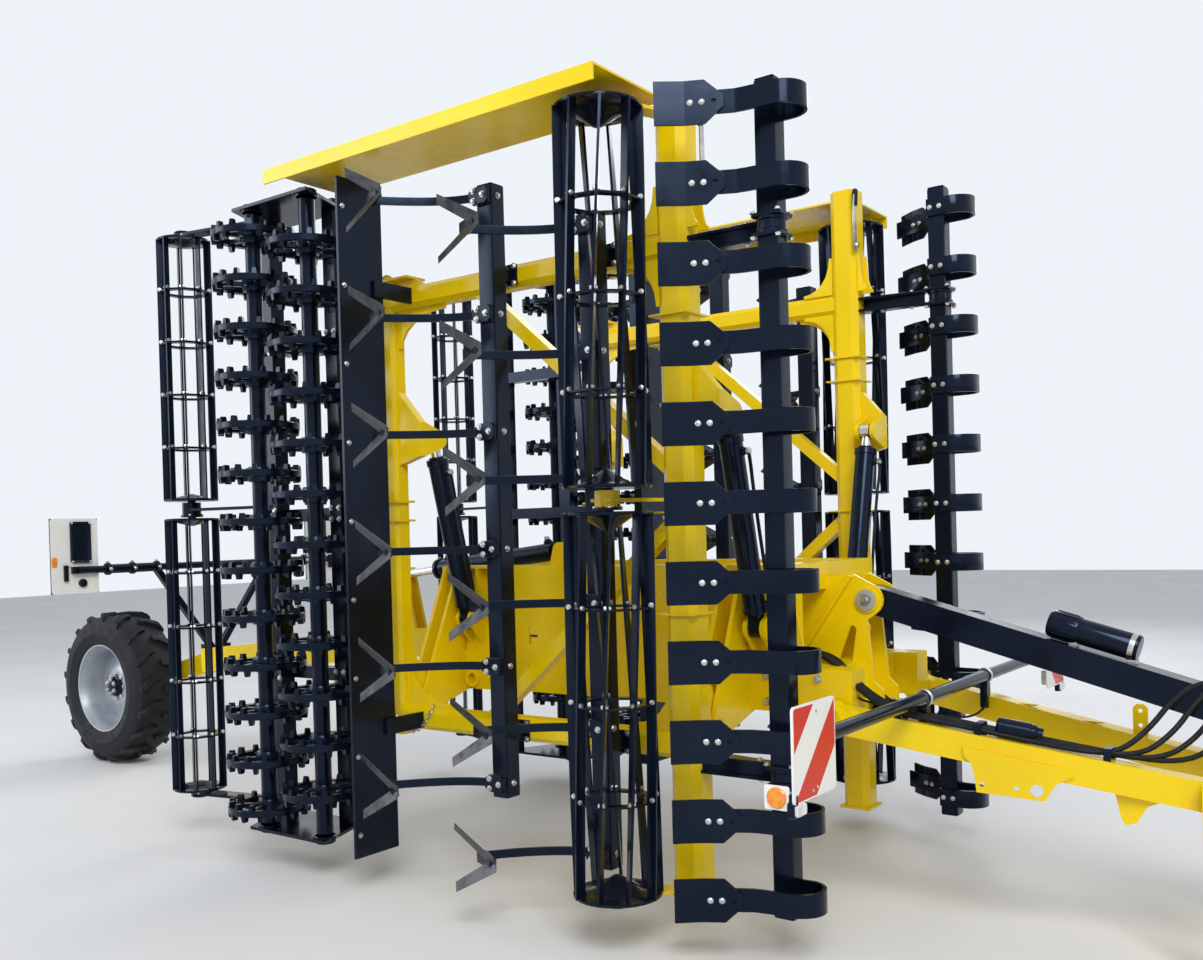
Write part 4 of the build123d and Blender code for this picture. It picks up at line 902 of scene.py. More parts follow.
def make_share():
    """Duck-foot sweep: two blades folded back from the point, with ground edges."""
    blades = []
    apex = Vector((SWEEP_APEX[0], -TINE_BAR_Y + SWEEP_APEX[1], 0))
    tilt = math.radians(30)
    for way in (-1, 1):
        end_point = apex + Vector((-SWEEP_BACK, 0, way * SWEEP_HALF))
        run = (end_point - apex).normalized()
        inside = Vector((-abs(run.z), 0, -way * abs(run.x)))
        lifted = inside * math.cos(tilt) + Vector((0, 1, 0)) * math.sin(tilt)
        across = run.cross(lifted).normalized()
        length = (end_point - apex).length
        blade = sharp_block((0, 0, 0), (length / 1000, 0.058, 0.0065))
        open_edit(blade)
        pick(blade, lambda middle, normal: normal.y < -0.9)
        bpy.ops.transform.resize(value=(1, 1, 0.25))
        pick(blade, lambda middle, normal: normal.x > 0.9)
        bpy.ops.transform.resize(value=(1, 0.72, 1), center_override=(length / 2000, 0.029, 0))
        close_edit()
        soften(blade, 0.8, 1)
        turn = Matrix((run, lifted, across)).transposed().to_4x4()
        middle = (apex + end_point) / 2
        blade.data.transform(Matrix.Translation(at(*middle)) @ turn)
        blades.append(blade)
    return weld(blades), apex


def tines():
    strip, end = make_tine()
    share, apex = make_share()
    stem = cut_plate("stem", [
        (end[0] - 16, end[1] + 12), (end[0] - 8, end[1] - 8), (apex.x - 30, apex.y - 2),
        (apex.x - 8, apex.y + 6), (apex.x - 26, apex.y + 16), (end[0] + 24, end[1] + 16),
    ], -22, 22, "z", 2.0)
    tine = weld([strip, make_tine_clamp(), stem])
    shares = []
    parts = []
    heads = []
    inner_y = -TINE_BAR_Y + TINE_BAR / 2
    for x, lowest, highest in TINE_ROWS:
        heights = [lowest + (highest - lowest) * i / (TINES - 1) for i in range(TINES)]
        shift = [Matrix.Translation((x / 1000, 0, z / 1000)) for z in heights]
        parts.append(repeat(tine, "tines", shift))
        shares.append(repeat(share, "shares", shift))
        front = x + TINE_BAR / 2
        tube = (x - TINE_BAR / 2, TINE_FACE_Y, lowest - 60), (front, inner_y, highest + 50)
        parts.append(cut_block("tine_tube", *tube, 7.0))
        for z in (UPPER_BEAM_Z, LOWER_BEAM_Z):
            arm = (x - 30, inner_y, z - 28), (x + 30, -FRAME_Y - 48, z + 28)
            parts.append(cut_block("tine_arm", *arm, 4.0))
            foot = [(x + 52 * a, z + 44 * b) for a, b in CORNERS]
            parts.append(cut_plate("tine_foot", foot, -FRAME_Y - 60, -FRAME_Y - 48, "y", 3.0))
            for a, b in CORNERS:
                heads.append(((x + a * 41, -FRAME_Y - 60, z + b * 34), (0, -1, 0), 10))
        for z in heights:
            for a, b in ((-36, -20), (-36, 20), (12, 0)):
                heads.append(((x + a, TINE_FACE_Y - 22, z + b), (0, -1, 0), 25))
            heads.append(((front, -TINE_BAR_Y - 4, z), (1, 0, 0), 0))
            for k in (0.22, 0.55):
                spot = Vector((*end, 0)).lerp(Vector((apex.x - 10, apex.y + 4, 0)), k)
                heads.append(((x + spot.x, spot.y + 12, z), (0.35, 0.94, 0), 0))
    fit_pair(weld(parts), "tine_frames", black, node="tine_bars")
    fit_pair(weld(shares), "sweeps", share_steel)
    fasten_pair("tine_bolts", heads, 0.9)
    scrap(tine, share)


# Rear levelling board

BOARD_X = -1800.0


def board_fixings():
    """Bolts through the rear levelling board and its two feet."""
    heads = []
    for z in (UPPER_BEAM_Z, LOWER_BEAM_Z):
        for dy in (14, 44):
            for dz in (-20, 20):
                heads.append(((BOARD_X - 6, -965.0 - dy, z + dz), (-1, 0, 0), 8))
    for i in range(9):
        z = WING_LOW + 120 + (WING_HIGH - WING_LOW - 300) * i / 8
        for way in (-1, 1):
            heads.append(((BOARD_X + way * 6, -1180.0, z), (way, 0, 0), 15))
    fasten_pair("board_bolts", heads, 0.8)


# Transport wheel

WHEEL_X = -5550.0
WHEEL_R = 515.0
WHEEL_W = 340.0
RIM_R = 290.0
TREAD_PAIRS = 17
WHEEL_PLACE = (WHEEL_X, 0, WHEEL_R)


def make_tyre_body():
    """Carcass: bead, bulging side walls with a rib, shoulders and a slightly round tread."""
    half = WHEEL_W / 2
    side = [
        (RIM_R - 4, -half + 34), (RIM_R + 12, -half + 22), (RIM_R + 38, -half + 8), (RIM_R + 78, -half + 1),
        (RIM_R + 84, -half - 2), (RIM_R + 92, -half + 1), (RIM_R + 128, -half + 5),
        (WHEEL_R - 62, -half + 16), (WHEEL_R - 40, -half + 34), (WHEEL_R - 31, -half + 80),
    ]
    return turn_section("tyre_body", with_mirror(side, [(WHEEL_R - 28, 0)]), 96)


def make_tread_lug(way):
    """One slanting tread bar, from the middle of the tread down over the shoulder."""
    outline = [(-26, 6), (-20, 70), (34, 128), (66, 152), (104, 152), (72, 108), (22, 52), (14, 6)]
    base = (WHEEL_R - 44) / 1000
    lug = draw_outline("tread_lug", [(along / 1000, way * out / 1000, base) for along, out in outline])
    open_edit(lug)
    take_all()
    bpy.ops.mesh.subdivide(number_cuts=1)
    thicken((0, 0, 0.0425))
    bpy.ops.transform.resize(value=(0.88, 0.97, 1))
    face_out()
    # follow the round of the tread and fall away over the shoulder
    for vertex in lug.data.vertices:
        x, y, z = vertex.co
        turn = x / (WHEEL_R / 1000)
        over = max(0.0, abs(y) - 0.118)
        radius = z - over * over * 26
        vertex.co = (radius * math.sin(turn), y, radius * math.cos(turn))
    return soften(lug, 0)


def tyre():
    body = make_tyre_body()
    # the turned body's axis goes across the machine
    body.data.transform(Matrix.Rotation(math.pi / 2, 4, "X"))
    parts = [body]
    for way in (-1, 1):
        lug = make_tread_lug(way)
        shift = 0.25 * way
        places = [Matrix.Rotation(math.tau * (i + shift) / TREAD_PAIRS, 4, "Y") for i in range(TREAD_PAIRS)]
        parts.append(repeat(lug, "tread", places))
        scrap(lug)
    whole = weld(parts)
    whole.data.transform(Matrix.Translation(at(*WHEEL_PLACE)))
    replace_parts(fit_as("tyre_tread", [whole], "wheel", tyre_rubber), "tyre")


def rim():
    """Deep well rim with a dished disc, hub cap and wheel bolts; its outside faces right."""
    half = WHEEL_W / 2
    well = [
        (RIM_R + 8, -half + 20), (RIM_R + 8, -half + 27), (RIM_R - 6, -half + 40), (RIM_R - 22, -half + 70),
        (RIM_R - 30, -20), (RIM_R - 30, 40), (RIM_R - 20, half - 70), (RIM_R - 6, half - 40),
        (RIM_R + 8, half - 27), (RIM_R + 8, half - 20), (RIM_R - 2, half - 22), (RIM_R - 14, half - 42),
        (RIM_R - 30, half - 76), (RIM_R - 40, 42), (RIM_R - 40, -24), (RIM_R - 32, -half + 74),
        (RIM_R - 14, -half + 44), (RIM_R - 2, -half + 22),
    ]
    disc = [
        (RIM_R - 36, 4), (RIM_R - 36, 14), (RIM_R - 52, 16), (RIM_R - 86, 4), (150, -2), (126, -20),
        (96, -26), (60, -26), (60, -36), (98, -36), (130, -31), (156, -12), (RIM_R - 84, -6), (RIM_R - 52, 6),
    ]
    hub = [(31, -20), (58, -20), (70, -34), (70, -50), (60, -56), (52, -74), (38, -80), (31, -80)]
    cap = [(0.01, -86), (24, -86), (34, -82), (38, -74), (38, -60), (0.01, -60)]
    upright = Matrix.Translation(at(*WHEEL_PLACE)) @ Matrix.Rotation(-math.pi / 2, 4, "X")
    whole = weld([turn_section("rim_well", well, 72), turn_section("rim_disc", disc, 72)])
    middle = weld([turn_section("hub_body", hub, 40), turn_section("hub_cap", cap, 32)])
    for piece in (whole, middle):
        piece.data.transform(upright)
    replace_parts(fit_as("wheel_rim", [whole], "wheel", silver), "rim")
    fit_as("wheel_hub", [middle], "wheel", black)
    heads = []
    for count, first, circle, y, spin in ((8, 0.0, 86, -36.0, 10), (6, 0.5, 46, -79.0, 7)):
        for i in range(count):
            angle = math.tau * (i + first) / count
            spot = (WHEEL_X + circle * math.cos(angle), y, WHEEL_R + circle * math.sin(angle))
            heads.append((spot, (0, -1, 0), spin * i))
    fit(bolts("wheel_bolts", heads, 1.15), "wheel", steel)


# Drawbar, boards and lamps

DRAWBAR_REAR = (0.0, 450.0, 782.0)
DRAWBAR_NOSE_X = 2010.0
DRAWBAR_NOSE_Y = 60.0
EYE_Z = 450.0
TOWER_PIN = (-5.0, 1196.0)
STRUT_END = (DRAWBAR_NOSE_X - 70, EYE_Z + 195)
STRUT_SLOPE = (STRUT_END[1] - TOWER_PIN[1]) / (STRUT_END[0] - TOWER_PIN[0])
WARN_BAR_X = 320.0
WARN_BAR_Z = 860.0
WARN_BOARD = 282.0
WARN_BOARD_Y = 1450.0
WARN_CLAMP_Y = 345.0
REFLECTOR_Y = -1438.0
LAMP_BAR_X = -4450.0
LAMP_BAR_Z = 1355.0
LAMP_BOARD = (282.0, 430.0)
LAMP_BOARD_Y = 1040.0
LAMP_BOARD_DROP = 0.31
SLIDE_Y = 395.0
TOWER_SIDE_Y = 93.0
PIN_KEEPER_Y = 508.0
HOSE_R = 9.5


def beam_at(x):
    """Middle of the drawbar's left beam at a station: distance from the centre and height."""
    x0, y0, z0 = DRAWBAR_REAR
    share = (x - x0) / (DRAWBAR_NOSE_X - x0)
    return y0 * (1 - share) + DRAWBAR_NOSE_Y * share, z0 * (1 - share) + EYE_Z * share


def rounded(a0, a1, b0, b1, radius, steps=4):
    """Outline of a rectangle with round corners."""
    outline = []
    for a, b, start in (
        (a1 - radius, b1 - radius, 0), (a0 + radius, b1 - radius, 90),
        (a0 + radius, b0 + radius, 180), (a1 - radius, b0 + radius, 270),
    ):
        for i in range(steps + 1):
            angle = math.radians(start + 90 * i / steps)
            outline.append((a + radius * math.cos(angle), b + radius * math.sin(angle)))
    return outline


def sheet(name, sides, inset, radius, x_back, x_front, edge=0.0):
    """Upright sheet across the machine with round corners, inset from given sides."""
    y0, y1, z0, z1 = sides
    outline = rounded(y0 + inset, y1 - inset, z0 + inset, z1 - inset, radius)
    return cut_plate(name, outline, x_back, x_front, "x", edge)


def make_tray(name, sides, x_back, x_front, lip):
    """Sheet tray: a face plate with a folded edge all round, open at the back."""
    tray = sheet(name, sides, 0, 14, x_back, x_front)
    open_edit(tray)
    pick(tray, lambda middle, normal: normal.x < -0.9)
    bpy.ops.mesh.inset(thickness=lip / 1000)
    bpy.ops.transform.translate(value=((x_front - x_back - 1.5) / 1000, 0, 0))
    close_edit()
    return soften(tray, 0)


def warning_boards():
    """Striped boards in trays, each with a holder, a reflector and a marker lamp."""
    x = WARN_BAR_X
    low = WARN_BAR_Z - 160
    y0, y1 = -WARN_BOARD_Y + 1, -WARN_BOARD_Y + WARN_BOARD
    middle = (y0 + y1) / 2
    sides = (y0, y1, low, low + WARN_BOARD)
    tray = make_tray("warning_board_right", sides, x + 22, x + 29, 2.0)
    face = sheet("board_sheet_right", sides, 6, 9, x + 28.5, x + 29.6)
    heads = [
        ((x + 29.6, middle + dy, low + dz), (1, 0, 0), 0)
        for dy, dz in ((10, WARN_BOARD - 30), (10, 28), (-18, 22))
    ]
    rivets = bolts("board_rivets_right", heads, 0.5, round_bolt_master)
    holder_top = (x + 22, middle + 20, low + WARN_BOARD - 20)
    holder = cut_block("board_holder_right", (x - 10, middle - 20, low - 6), holder_top, 2.0)
    # round reflector that faces sideways behind the corner, and a marker lamp under the board
    outline = rounded(246, 328, 680, 752, 8)
    plate = cut_plate("reflector_plate_right", outline, REFLECTOR_Y, REFLECTOR_Y + 4, "y", 1.0)
    section = [(0.01, 0), (31, 0), (31, 4), (28, 7), (20, 8.5), (0.01, 9)]
    disc = turned("amber_reflector_right", section, 36, (287, REFLECTOR_Y, 716), (0, -1, 0))
    arm = cut_block("reflector_arm_right", (326, -1440, low - 10), (350, -1426, low + 30), 2.0)
    stay = cut_block("reflector_stay_right", (322, -1434, 692), (350, -1428, 716), 1.0)
    marker = (-1448, -1376, 660, 708)
    body = sheet("marker_body_right", marker, 0, 10, x + 4, x + 26, 2.0)
    glass = cut_plate("marker_glass_right", rounded(-1443, -1381, 666, 700, 8), x + 25, x + 36, "x", 3.0)
    fit_both_sides((
        (tray, board_white), (face, stripes_right), (rivets, steel), (holder, black), (plate, board_white),
        (disc, amber), (weld([arm, stay, body]), black), (glass, clear),
    ), "chassis")
    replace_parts(tray, "warning_boards")


def warning_bar_fittings():
    """End plugs of the chrome tube and its two U-bolts."""
    parts = []
    saddle = with_mirror([(24.5, -5), (29, -6), (33, -4)])
    end = [(0.01, -2), (24.5, -2), (24.5, 5), (20, 9), (0.01, 9)]
    for side in (-1, 1):
        parts.append(turned("u_bolt", saddle, 32, (WARN_BAR_X, side * WARN_CLAMP_Y, WARN_BAR_Z), (0, 1, 0)))
        end_y = side * (WARN_BOARD_Y - WARN_BOARD + 1)
        parts.append(turned("tube_plug", end, 24, (WARN_BAR_X, end_y, WARN_BAR_Z), (0, -side, 0)))
    fit_as("tube_clamps", parts, "chassis", steel)


def lamp_boards():
    """Sheet boards at the rear with framed lamps, reflectors and clamps."""
    x = LAMP_BAR_X - 26
    face = x + 1.5
    wide, tall = LAMP_BOARD
    low = LAMP_BAR_Z - tall * LAMP_BOARD_DROP
    y0, y1 = -LAMP_BOARD_Y, -LAMP_BOARD_Y + wide
    sides = (y0, y1, low, low + tall)
    low_in, high_in = low + 175, low + tall - 18
    lamp_sides = (y1 - 160, y1 - 56, low_in + 8, high_in - 8)
    white = sheet("lamp_sheet_right", sides, 0, 16, x - 0.5, face)
    back = sheet("lamp_stripes_right", sides, 8, 12, x - 12, x - 10)
    outer = sheet("lamp_frame_right", lamp_sides, -8, 14, face, x + 16)
    open_edit(outer)
    pick(outer, lambda middle, normal: normal.x > 0.9)
    bpy.ops.mesh.inset(thickness=0.016)
    bpy.ops.transform.translate(value=(-0.0135, 0, 0))
    close_edit()
    soften(outer, 0)
    section = [(0.01, 0), (24, 0), (24, 14), (18, 20), (9, 22), (0.01, 22)]
    knob = turned("lamp_knob", section, 20, (face, (y0 + y1) / 2 + 40, low + 58), (1, 0, 0))
    clamp = (face, y0 + 70, LAMP_BAR_Z - 62), (x + 22, y0 + 92, LAMP_BAR_Z + 30)
    bar_clamp = cut_block("lamp_clamp", *clamp, 3.0)
    heads = [((x + 16, y, z), (1, 0, 0), 0) for y in lamp_sides[:2] for z in lamp_sides[2:]]
    heads += [((face, y0 + 108 + 26 * i, low_in - 18), (1, 0, 0), 0) for i in range(4)]
    screws = bolts("lamp_screws_right", heads, 0.45)
    reflector = rounded(y0 + 1, y0 + 34, low + 155, low + 210, 12)
    side_lens = cut_plate("lamp_reflector_right", reflector, face, x + 10, "x", 3.0)
    lamp = sheet("tail_lamp_right", lamp_sides, 0, 10, x - 40, x - 12, 4.0)
    turn_outline = rounded(y1 - 160, y1 - 56, high_in - 78, high_in - 10, 8)
    turn_lamp = cut_plate("turn_lamp_right", turn_outline, x - 44, x - 38, "x", 2.0)
    fit_both_sides((
        (white, board_white), (back, stripes_left), (weld([outer, knob, bar_clamp]), black),
        (screws, steel), (side_lens, amber), (lamp, red), (turn_lamp, amber),
    ), "wheel_arm")


def lamp_slides():
    """Sliding tubes of the lamp bar with their collars and clamp screws."""
    parts = []
    screws = []
    tube = [(21.5, 0), (27, 0), (27, 330), (21.5, 330)]
    collar = with_mirror([(26, -12), (34, -12), (36, -9)])
    for side in (-1, 1):
        parts.append(turned("slide_tube", tube, 24, (LAMP_BAR_X, side * SLIDE_Y, LAMP_BAR_Z), (0, side, 0)))
        for y in (400, 560, 715):
            spot = Vector((LAMP_BAR_X, side * y, LAMP_BAR_Z))
            parts.append(turned("slide_collar", collar, 20, spot, (0, 1, 0)))
            for way in ((0, 0, 1), (1, 0, 0)):
                screws.append((spot + 36 * Vector(way), way, 0))
    fit_as("lamp_slides", parts, "wheel_arm", black)
    fit(bolts("lamp_slide_screws", screws, 0.8), "wheel_arm", steel)


def strut_z(x):
    """Middle of the strut from the tower to the nose at a station."""
    return TOWER_PIN[1] + (x - TOWER_PIN[0]) * STRUT_SLOPE


def document_tube():
    """Plain black tube for papers on the strut, with a wider screw cap behind."""
    rear = Vector((675.0, 0, 1118.0))
    run = Vector((306.0, 0, STRUT_SLOPE * 306))
    long = run.length
    section = [
        (0.01, 0), (44, 0), (49, 4), (52, 12), (52, 104), (49, 110), (47.5, 112), (47.5, long - 8),
        (44, long), (0.01, long),
    ]
    parts = [turn_section("document_tube", section, 40)]
    for i in range(12):
        rib = cut_block("grip", (50 - FRAME_SHIFT, -3, 18), (54.5 - FRAME_SHIFT, 3, 98), 1.0)
        rib.data.transform(Matrix.Rotation(math.tau * i / 12, 4, "Z"))
        parts.append(rib)
    whole = weld(parts)
    whole.data.transform(move_to(at(*rear), run))
    fit_as("document_tube", [whole], "chassis", black)
    parts = []
    band = with_mirror([(47.6, -9), (50, -9)])
    for share in (0.28, 0.93):
        spot = rear + run * share
        parts.append(turned("tube_band", band, 32, spot, run))
        low, high = strut_z(spot.x) + 54, spot.z - 44
        parts.append(cut_block("band_foot", (spot.x - 14, -26, low), (spot.x + 14, 26, high), 1.5))
    fit_as("document_tube_bands", parts, "chassis", steel)


def drawbar_hoses():
    """Four hoses clipped along the right beam, that rise to their parked couplings."""
    rack_x, rack_y = 1660.0, -70.0
    hoses = []
    couplings = []
    socket = [
        (0.01, 0), (9, 0), (13, 2), (13, 20), (16, 22), (16, 44), (12, 46), (12, 64), (0.01, 64),
    ]
    for i in range(4):
        points = [(30, -330 + 14 * i, 905)]
        for x, lift in ((170, 14), (420, 16), (640, 12), (860, 12)):
            y, z = beam_at(x)
            points.append((x, -y + 12 + (i - 1.5) * 15, z + 52 + lift + (i % 2) * 7))
        reach = 75 * i
        end_y = rack_y - 45 + 24 * i
        points += [
            (960 + reach * 0.8, -250 + 12 * i, 705 - 0.16 * reach),
            (1040 + reach, -170 + 8 * i, 780 - 0.1 * reach),
            (1105 + reach, -112 + 4 * i, 880 + 5 * i),
            (1200 + reach, -90 + 10 * i, 945 + 9 * i),
            (1480 + 20 * i, -110 + 20 * i, 985 + 10 * i),
            (1650, end_y, 940),
            (1660, end_y, 850),
        ]
        hoses.append(pipe("drawbar_hose", points, HOSE_R))
        couplings.append(turned("coupling", socket, 6 if i % 2 else 16, (rack_x, end_y, 790)))
    fit_as("drawbar_hoses", hoses, "chassis", hose_rubber)
    shelf = cut_block("coupling_shelf", (rack_x - 30, rack_y - 66, 784), (rack_x + 30, rack_y + 52, 792), 2.0)
    low = strut_z(rack_x) - 30
    leg = cut_block("coupling_leg", (rack_x - 24, -62, low), (rack_x + 24, -55, 790), 1.5)
    fit_as("coupling_rack", [shelf, leg], "chassis", yellow)
    fit_as("couplings", couplings, "chassis", steel)


def hose_clips():
    """Sheet clips over the four hoses and the sleeve that gathers them."""
    parts = []
    outline = [
        (-28, 48), (-28, 84), (-18, 92), (42, 92), (52, 84), (52, 48),
        (46, 48), (46, 82), (40, 86), (-16, 86), (-22, 82), (-22, 48),
    ]
    for x in (250, 520, 930):
        y, z = beam_at(x)
        parts.append(cut_plate("clip", [(a - y, b + z) for a, b in outline], x - 12, x + 12, "x", 0))
    y, z = beam_at(640)
    section = [
        (0.01, -72), (26, -72), (34, -64), (34, 40), (31, 44), (31, 58), (24, 66), (24, 84), (0.01, 84),
    ]
    parts.append(turned("hose_sleeve", section, 28, (640, -y + 20, z + 86), (100, 19.4, -16.5)))
    fit_as("hose_clips", parts, "chassis", black)


def lamp_cables():
    """Thin cables from the frame to the lamps under both warning boards."""
    near = [(-140, -100, 960), (-60, -150, 880), (40, -300, 840), (110, -392, 838), (250, -380, 822)]
    far = [
        (320, 330, 830), (345, 320, 760), (300, 300, 700), (230, 250, 690), (160, 120, 720), (60, 0, 760),
        (-40, -60, 900),
    ]
    cables = [pipe("lamp_cable", near, 4.5), pipe("lamp_cable_far", far, 4.5)]
    fit_as("lamp_cables", cables, "chassis", hose_rubber)


def drawbar_steps():
    """Welded bars on the inside of the left beam, bolts at the nose and the strut's pin."""
    parts = []
    turn = Matrix.Rotation(math.atan2(DRAWBAR_NOSE_Y - DRAWBAR_REAR[1], DRAWBAR_NOSE_X), 4, "Z")
    for x in (191.0, 482.0, 739.0):
        y, z = beam_at(x)
        top = z + 50
        rail = cut_block("step_bar", (x - 52, y - 26, top - 2), (x + 52, y - 12, top + 5), 2.0)
        middle = at(x, y - 19, top)
        rail.data.transform(Matrix.Translation(middle) @ turn @ Matrix.Translation(-middle))
        parts.append(rail)
    fit_as("step_bars", parts, "chassis", yellow)
    heads = []
    for a, b in CORNERS:
        heads.append(((DRAWBAR_NOSE_X + 85, a * 58, EYE_Z + b * 56), (1, 0, 0), 10))
    for side in (-1, 1):
        heads.append(((DRAWBAR_NOSE_X - 115, side * 80, EYE_Z + 207.7), (0, side, 0), 0))
    fit(bolts("drawbar_bolts", heads, 1.9), "chassis", steel)


def tower_fittings():
    """Washers and nuts on the tower's pin, and retaining plates on the drawbar's pins."""
    parts = []
    heads = []
    x, z = TOWER_PIN
    pin_z = DRAWBAR_REAR[2]
    section = [(24, 0), (40, 0), (42, 3), (42, 6), (24, 8)]
    keeper = rounded(-40, 40, pin_z - 37, pin_z + 37, 10)
    for side in (-1, 1):
        way = (0, side, 0)
        parts.append(turned("pin_washer", section, 28, (x, side * TOWER_SIDE_Y, z), way))
        heads.append(((x, side * (TOWER_SIDE_Y + 2), z), way, 20))
        y = side * PIN_KEEPER_Y
        parts.append(cut_plate("pin_keeper", keeper, y - 4, y + 4, "y", 1.5))
        heads += [((a * 26, y + side * 4, pin_z + b * 22), way, 10) for a, b in CORNERS]
    fit_as("pin_washers", parts, "chassis", silver)
    fit(bolts("tower_bolts", heads, 1.5), "chassis", steel)


# Cylinders, hinges, stands and the rear carrier

FOLD_X = (-1830.0, -300.0)
FOLD_BASE = Vector((0.0, -450.0, 1105.0))
FOLD_RUN = Vector((0.0, -0.2356, 0.97185))
FOLD_TUBE = 738.9
FOLD_PIPE = ((100, 62, 0), (150, 76, -6), (300, 70, -4), (560, 70, -4), (660, 76, -8), (700, 70, 0))
LIFT_BASE = Vector((-1600.0, 0.0, 1412.0))
LIFT_LUG = Vector((-2720.0, 0.0, 1290.0))
STAND_X = 1250.0
STAND_Y = 307.5
CHAIN_LINKS = 17
CHAIN_START = (-2004.0, -816.0, 770.0)
CHAIN_LONG = 288.0
CHAIN_FALL = 25.0
CHAIN_SAG = 122.0


def gland(tube_r, rod_r, long, place, run):
    """Cylinder head: a ring with a wiper lip."""
    section = [
        (rod_r + 0.5, -6), (tube_r + 1, -6), (tube_r + 5, -3), (tube_r + 5, long - 12),
        (tube_r + 1, long - 8), (rod_r + 14, long - 8), (rod_r + 12, long), (rod_r + 4, long + 3),
        (rod_r + 0.5, long + 3),
    ]
    return turned("gland", section, 32, place, run)


def oil_ports(name, places, way, out):
    """Welded bosses on a cylinder and the nuts of their banjo fittings."""
    boss = [(0.01, -10), (17, -10), (17, out - 12), (13, out - 8), (13, out), (0.01, out)]
    nut = [(0.01, out), (14, out), (14, out + 12), (10, out + 15), (0.01, out + 15)]
    bosses = [turned(name, boss, 20, place, way) for place in places]
    nuts = [turned(name + "_nut", nut, 6, place, way) for place in places]
    return bosses, nuts


def fold_cylinder_fittings():
    """Head, foot ring, two ports and a pipe on each fold cylinder."""
    foot = [(44, -4), (49, -4), (49, 8), (46, 11), (44, 11)]
    for x, row in zip(FOLD_X, ("rear", "front")):
        base = FOLD_BASE + Vector((x, 0, 0))
        parts = [
            gland(45, 22.5, 34, base + FOLD_RUN * FOLD_TUBE, FOLD_RUN),
            turned("foot_ring", foot, 32, base + FOLD_RUN * 74, FOLD_RUN),
        ]
        spots = [base + FOLD_RUN * along + Vector((30, 0, 0)) for along in (98, 700)]
        bosses, nuts = oil_ports("oil_port", spots, (1, 0, 0), 34)
        line = [base + FOLD_RUN * along + Vector((side, out, 0)) for along, side, out in FOLD_PIPE]
        pipework = pipe("cylinder_pipe", line, 7)
        body = "fold_barrel_" + row
        fit_pair(weld(parts + bosses + [pipework]), "fold_cylinder_fittings_" + row, black, body)
        fit_pair(weld(nuts), "fold_cylinder_nuts_" + row, steel, body)


def lift_cylinder_fittings():
    """Head and two ports on the wheel arm's cylinder; its head is where the CAD barrel ends."""
    run = (LIFT_LUG - LIFT_BASE).normalized()
    node = frame["nodes"]["lift_barrel"]
    far = min((node.matrix_world @ vertex.co).x for vertex in node.data.vertices) * 1000 - FRAME_SHIFT
    reach = (far - LIFT_BASE.x) / run.x
    ring = gland(50, 25, 26, LIFT_BASE + run * (reach - 20), run)
    spots = [LIFT_BASE + run * along + Vector((0, 0, 40)) for along in (110, reach - 70)]
    bosses, nuts = oil_ports("lift_port", spots, (0, 0, 1), 26)
    fit_as("lift_cylinder_fittings", [ring] + bosses, "lift_barrel", black)
    fit_as("lift_cylinder_nuts", nuts, "lift_barrel", steel)


def stand_fittings():
    """Locking pins and handles on the parking stands, and the foot's weld bead."""
    pin = [(0.01, -62), (8, -62), (9, -58), (9, 60), (0.01, 60)]
    handle = (
        (0, 58, 520), (18, 60, 508), (20, 60, 480), (0, 60, 466), (-20, 60, 480), (-18, 60, 508),
        (0, 62, 520),
    )
    for side, way in SIDES:
        y = way * STAND_Y
        bar = turned("stand_pin", pin, 14, (STAND_X, y, 520), (0, 1, 0))
        ring = pipe("pin_ring", [(STAND_X + dx, y + way * dy, z) for dx, dy, z in handle], 2.5, 8)
        fit_as("stand_pin_" + side, [bar, ring], "chassis", steel)
        bead = turned("stand_bead", [(28, 0), (37, 0), (29, 8)], 20, (STAND_X, y, 12))
        fit_as("stand_bead_" + side, [bead], "stand_" + side, black)


def wing_gussets():
    """Hollow-edged gussets where the upper beam meets the front tube, and rungs on the tube."""
    parts = []
    half = 64
    for way, side, reach in ((1, -1, 150), (1, 1, 46), (-1, -1, 150)):
        start = UPPER_BEAM_Z + way * 47
        face = FRONT_TUBE_X + side * half
        outline = [(face, start), (face + side * reach, start), (face + side * reach, start + way * 14)]
        for i in range(1, 6):
            angle = math.radians(90 * i / 6)
            outline.append((
                face + side * (reach - (reach - 16) * math.sin(angle)),
                start + way * (14 + 150 * (1 - math.cos(angle))),
            ))
        outline += [(face + side * 14, start + way * 176), (face, start + way * 176)]
        for y in (-FRAME_Y - 44, -FRAME_Y + 32):
            parts.append(cut_plate("gusset", outline, y, y + 12, "y", 1.0))
    for z in (1180.0, 1560.0, 2180.0, 2290.0):
        rung = (FRONT_TUBE_X - 92, -FRAME_Y - 78, z), (FRONT_TUBE_X + 74, -FRAME_Y + 78, z + 7)
        parts.append(cut_block("rung", *rung, 1.0))
    fit_pair(weld(parts), "tube_gussets", yellow)


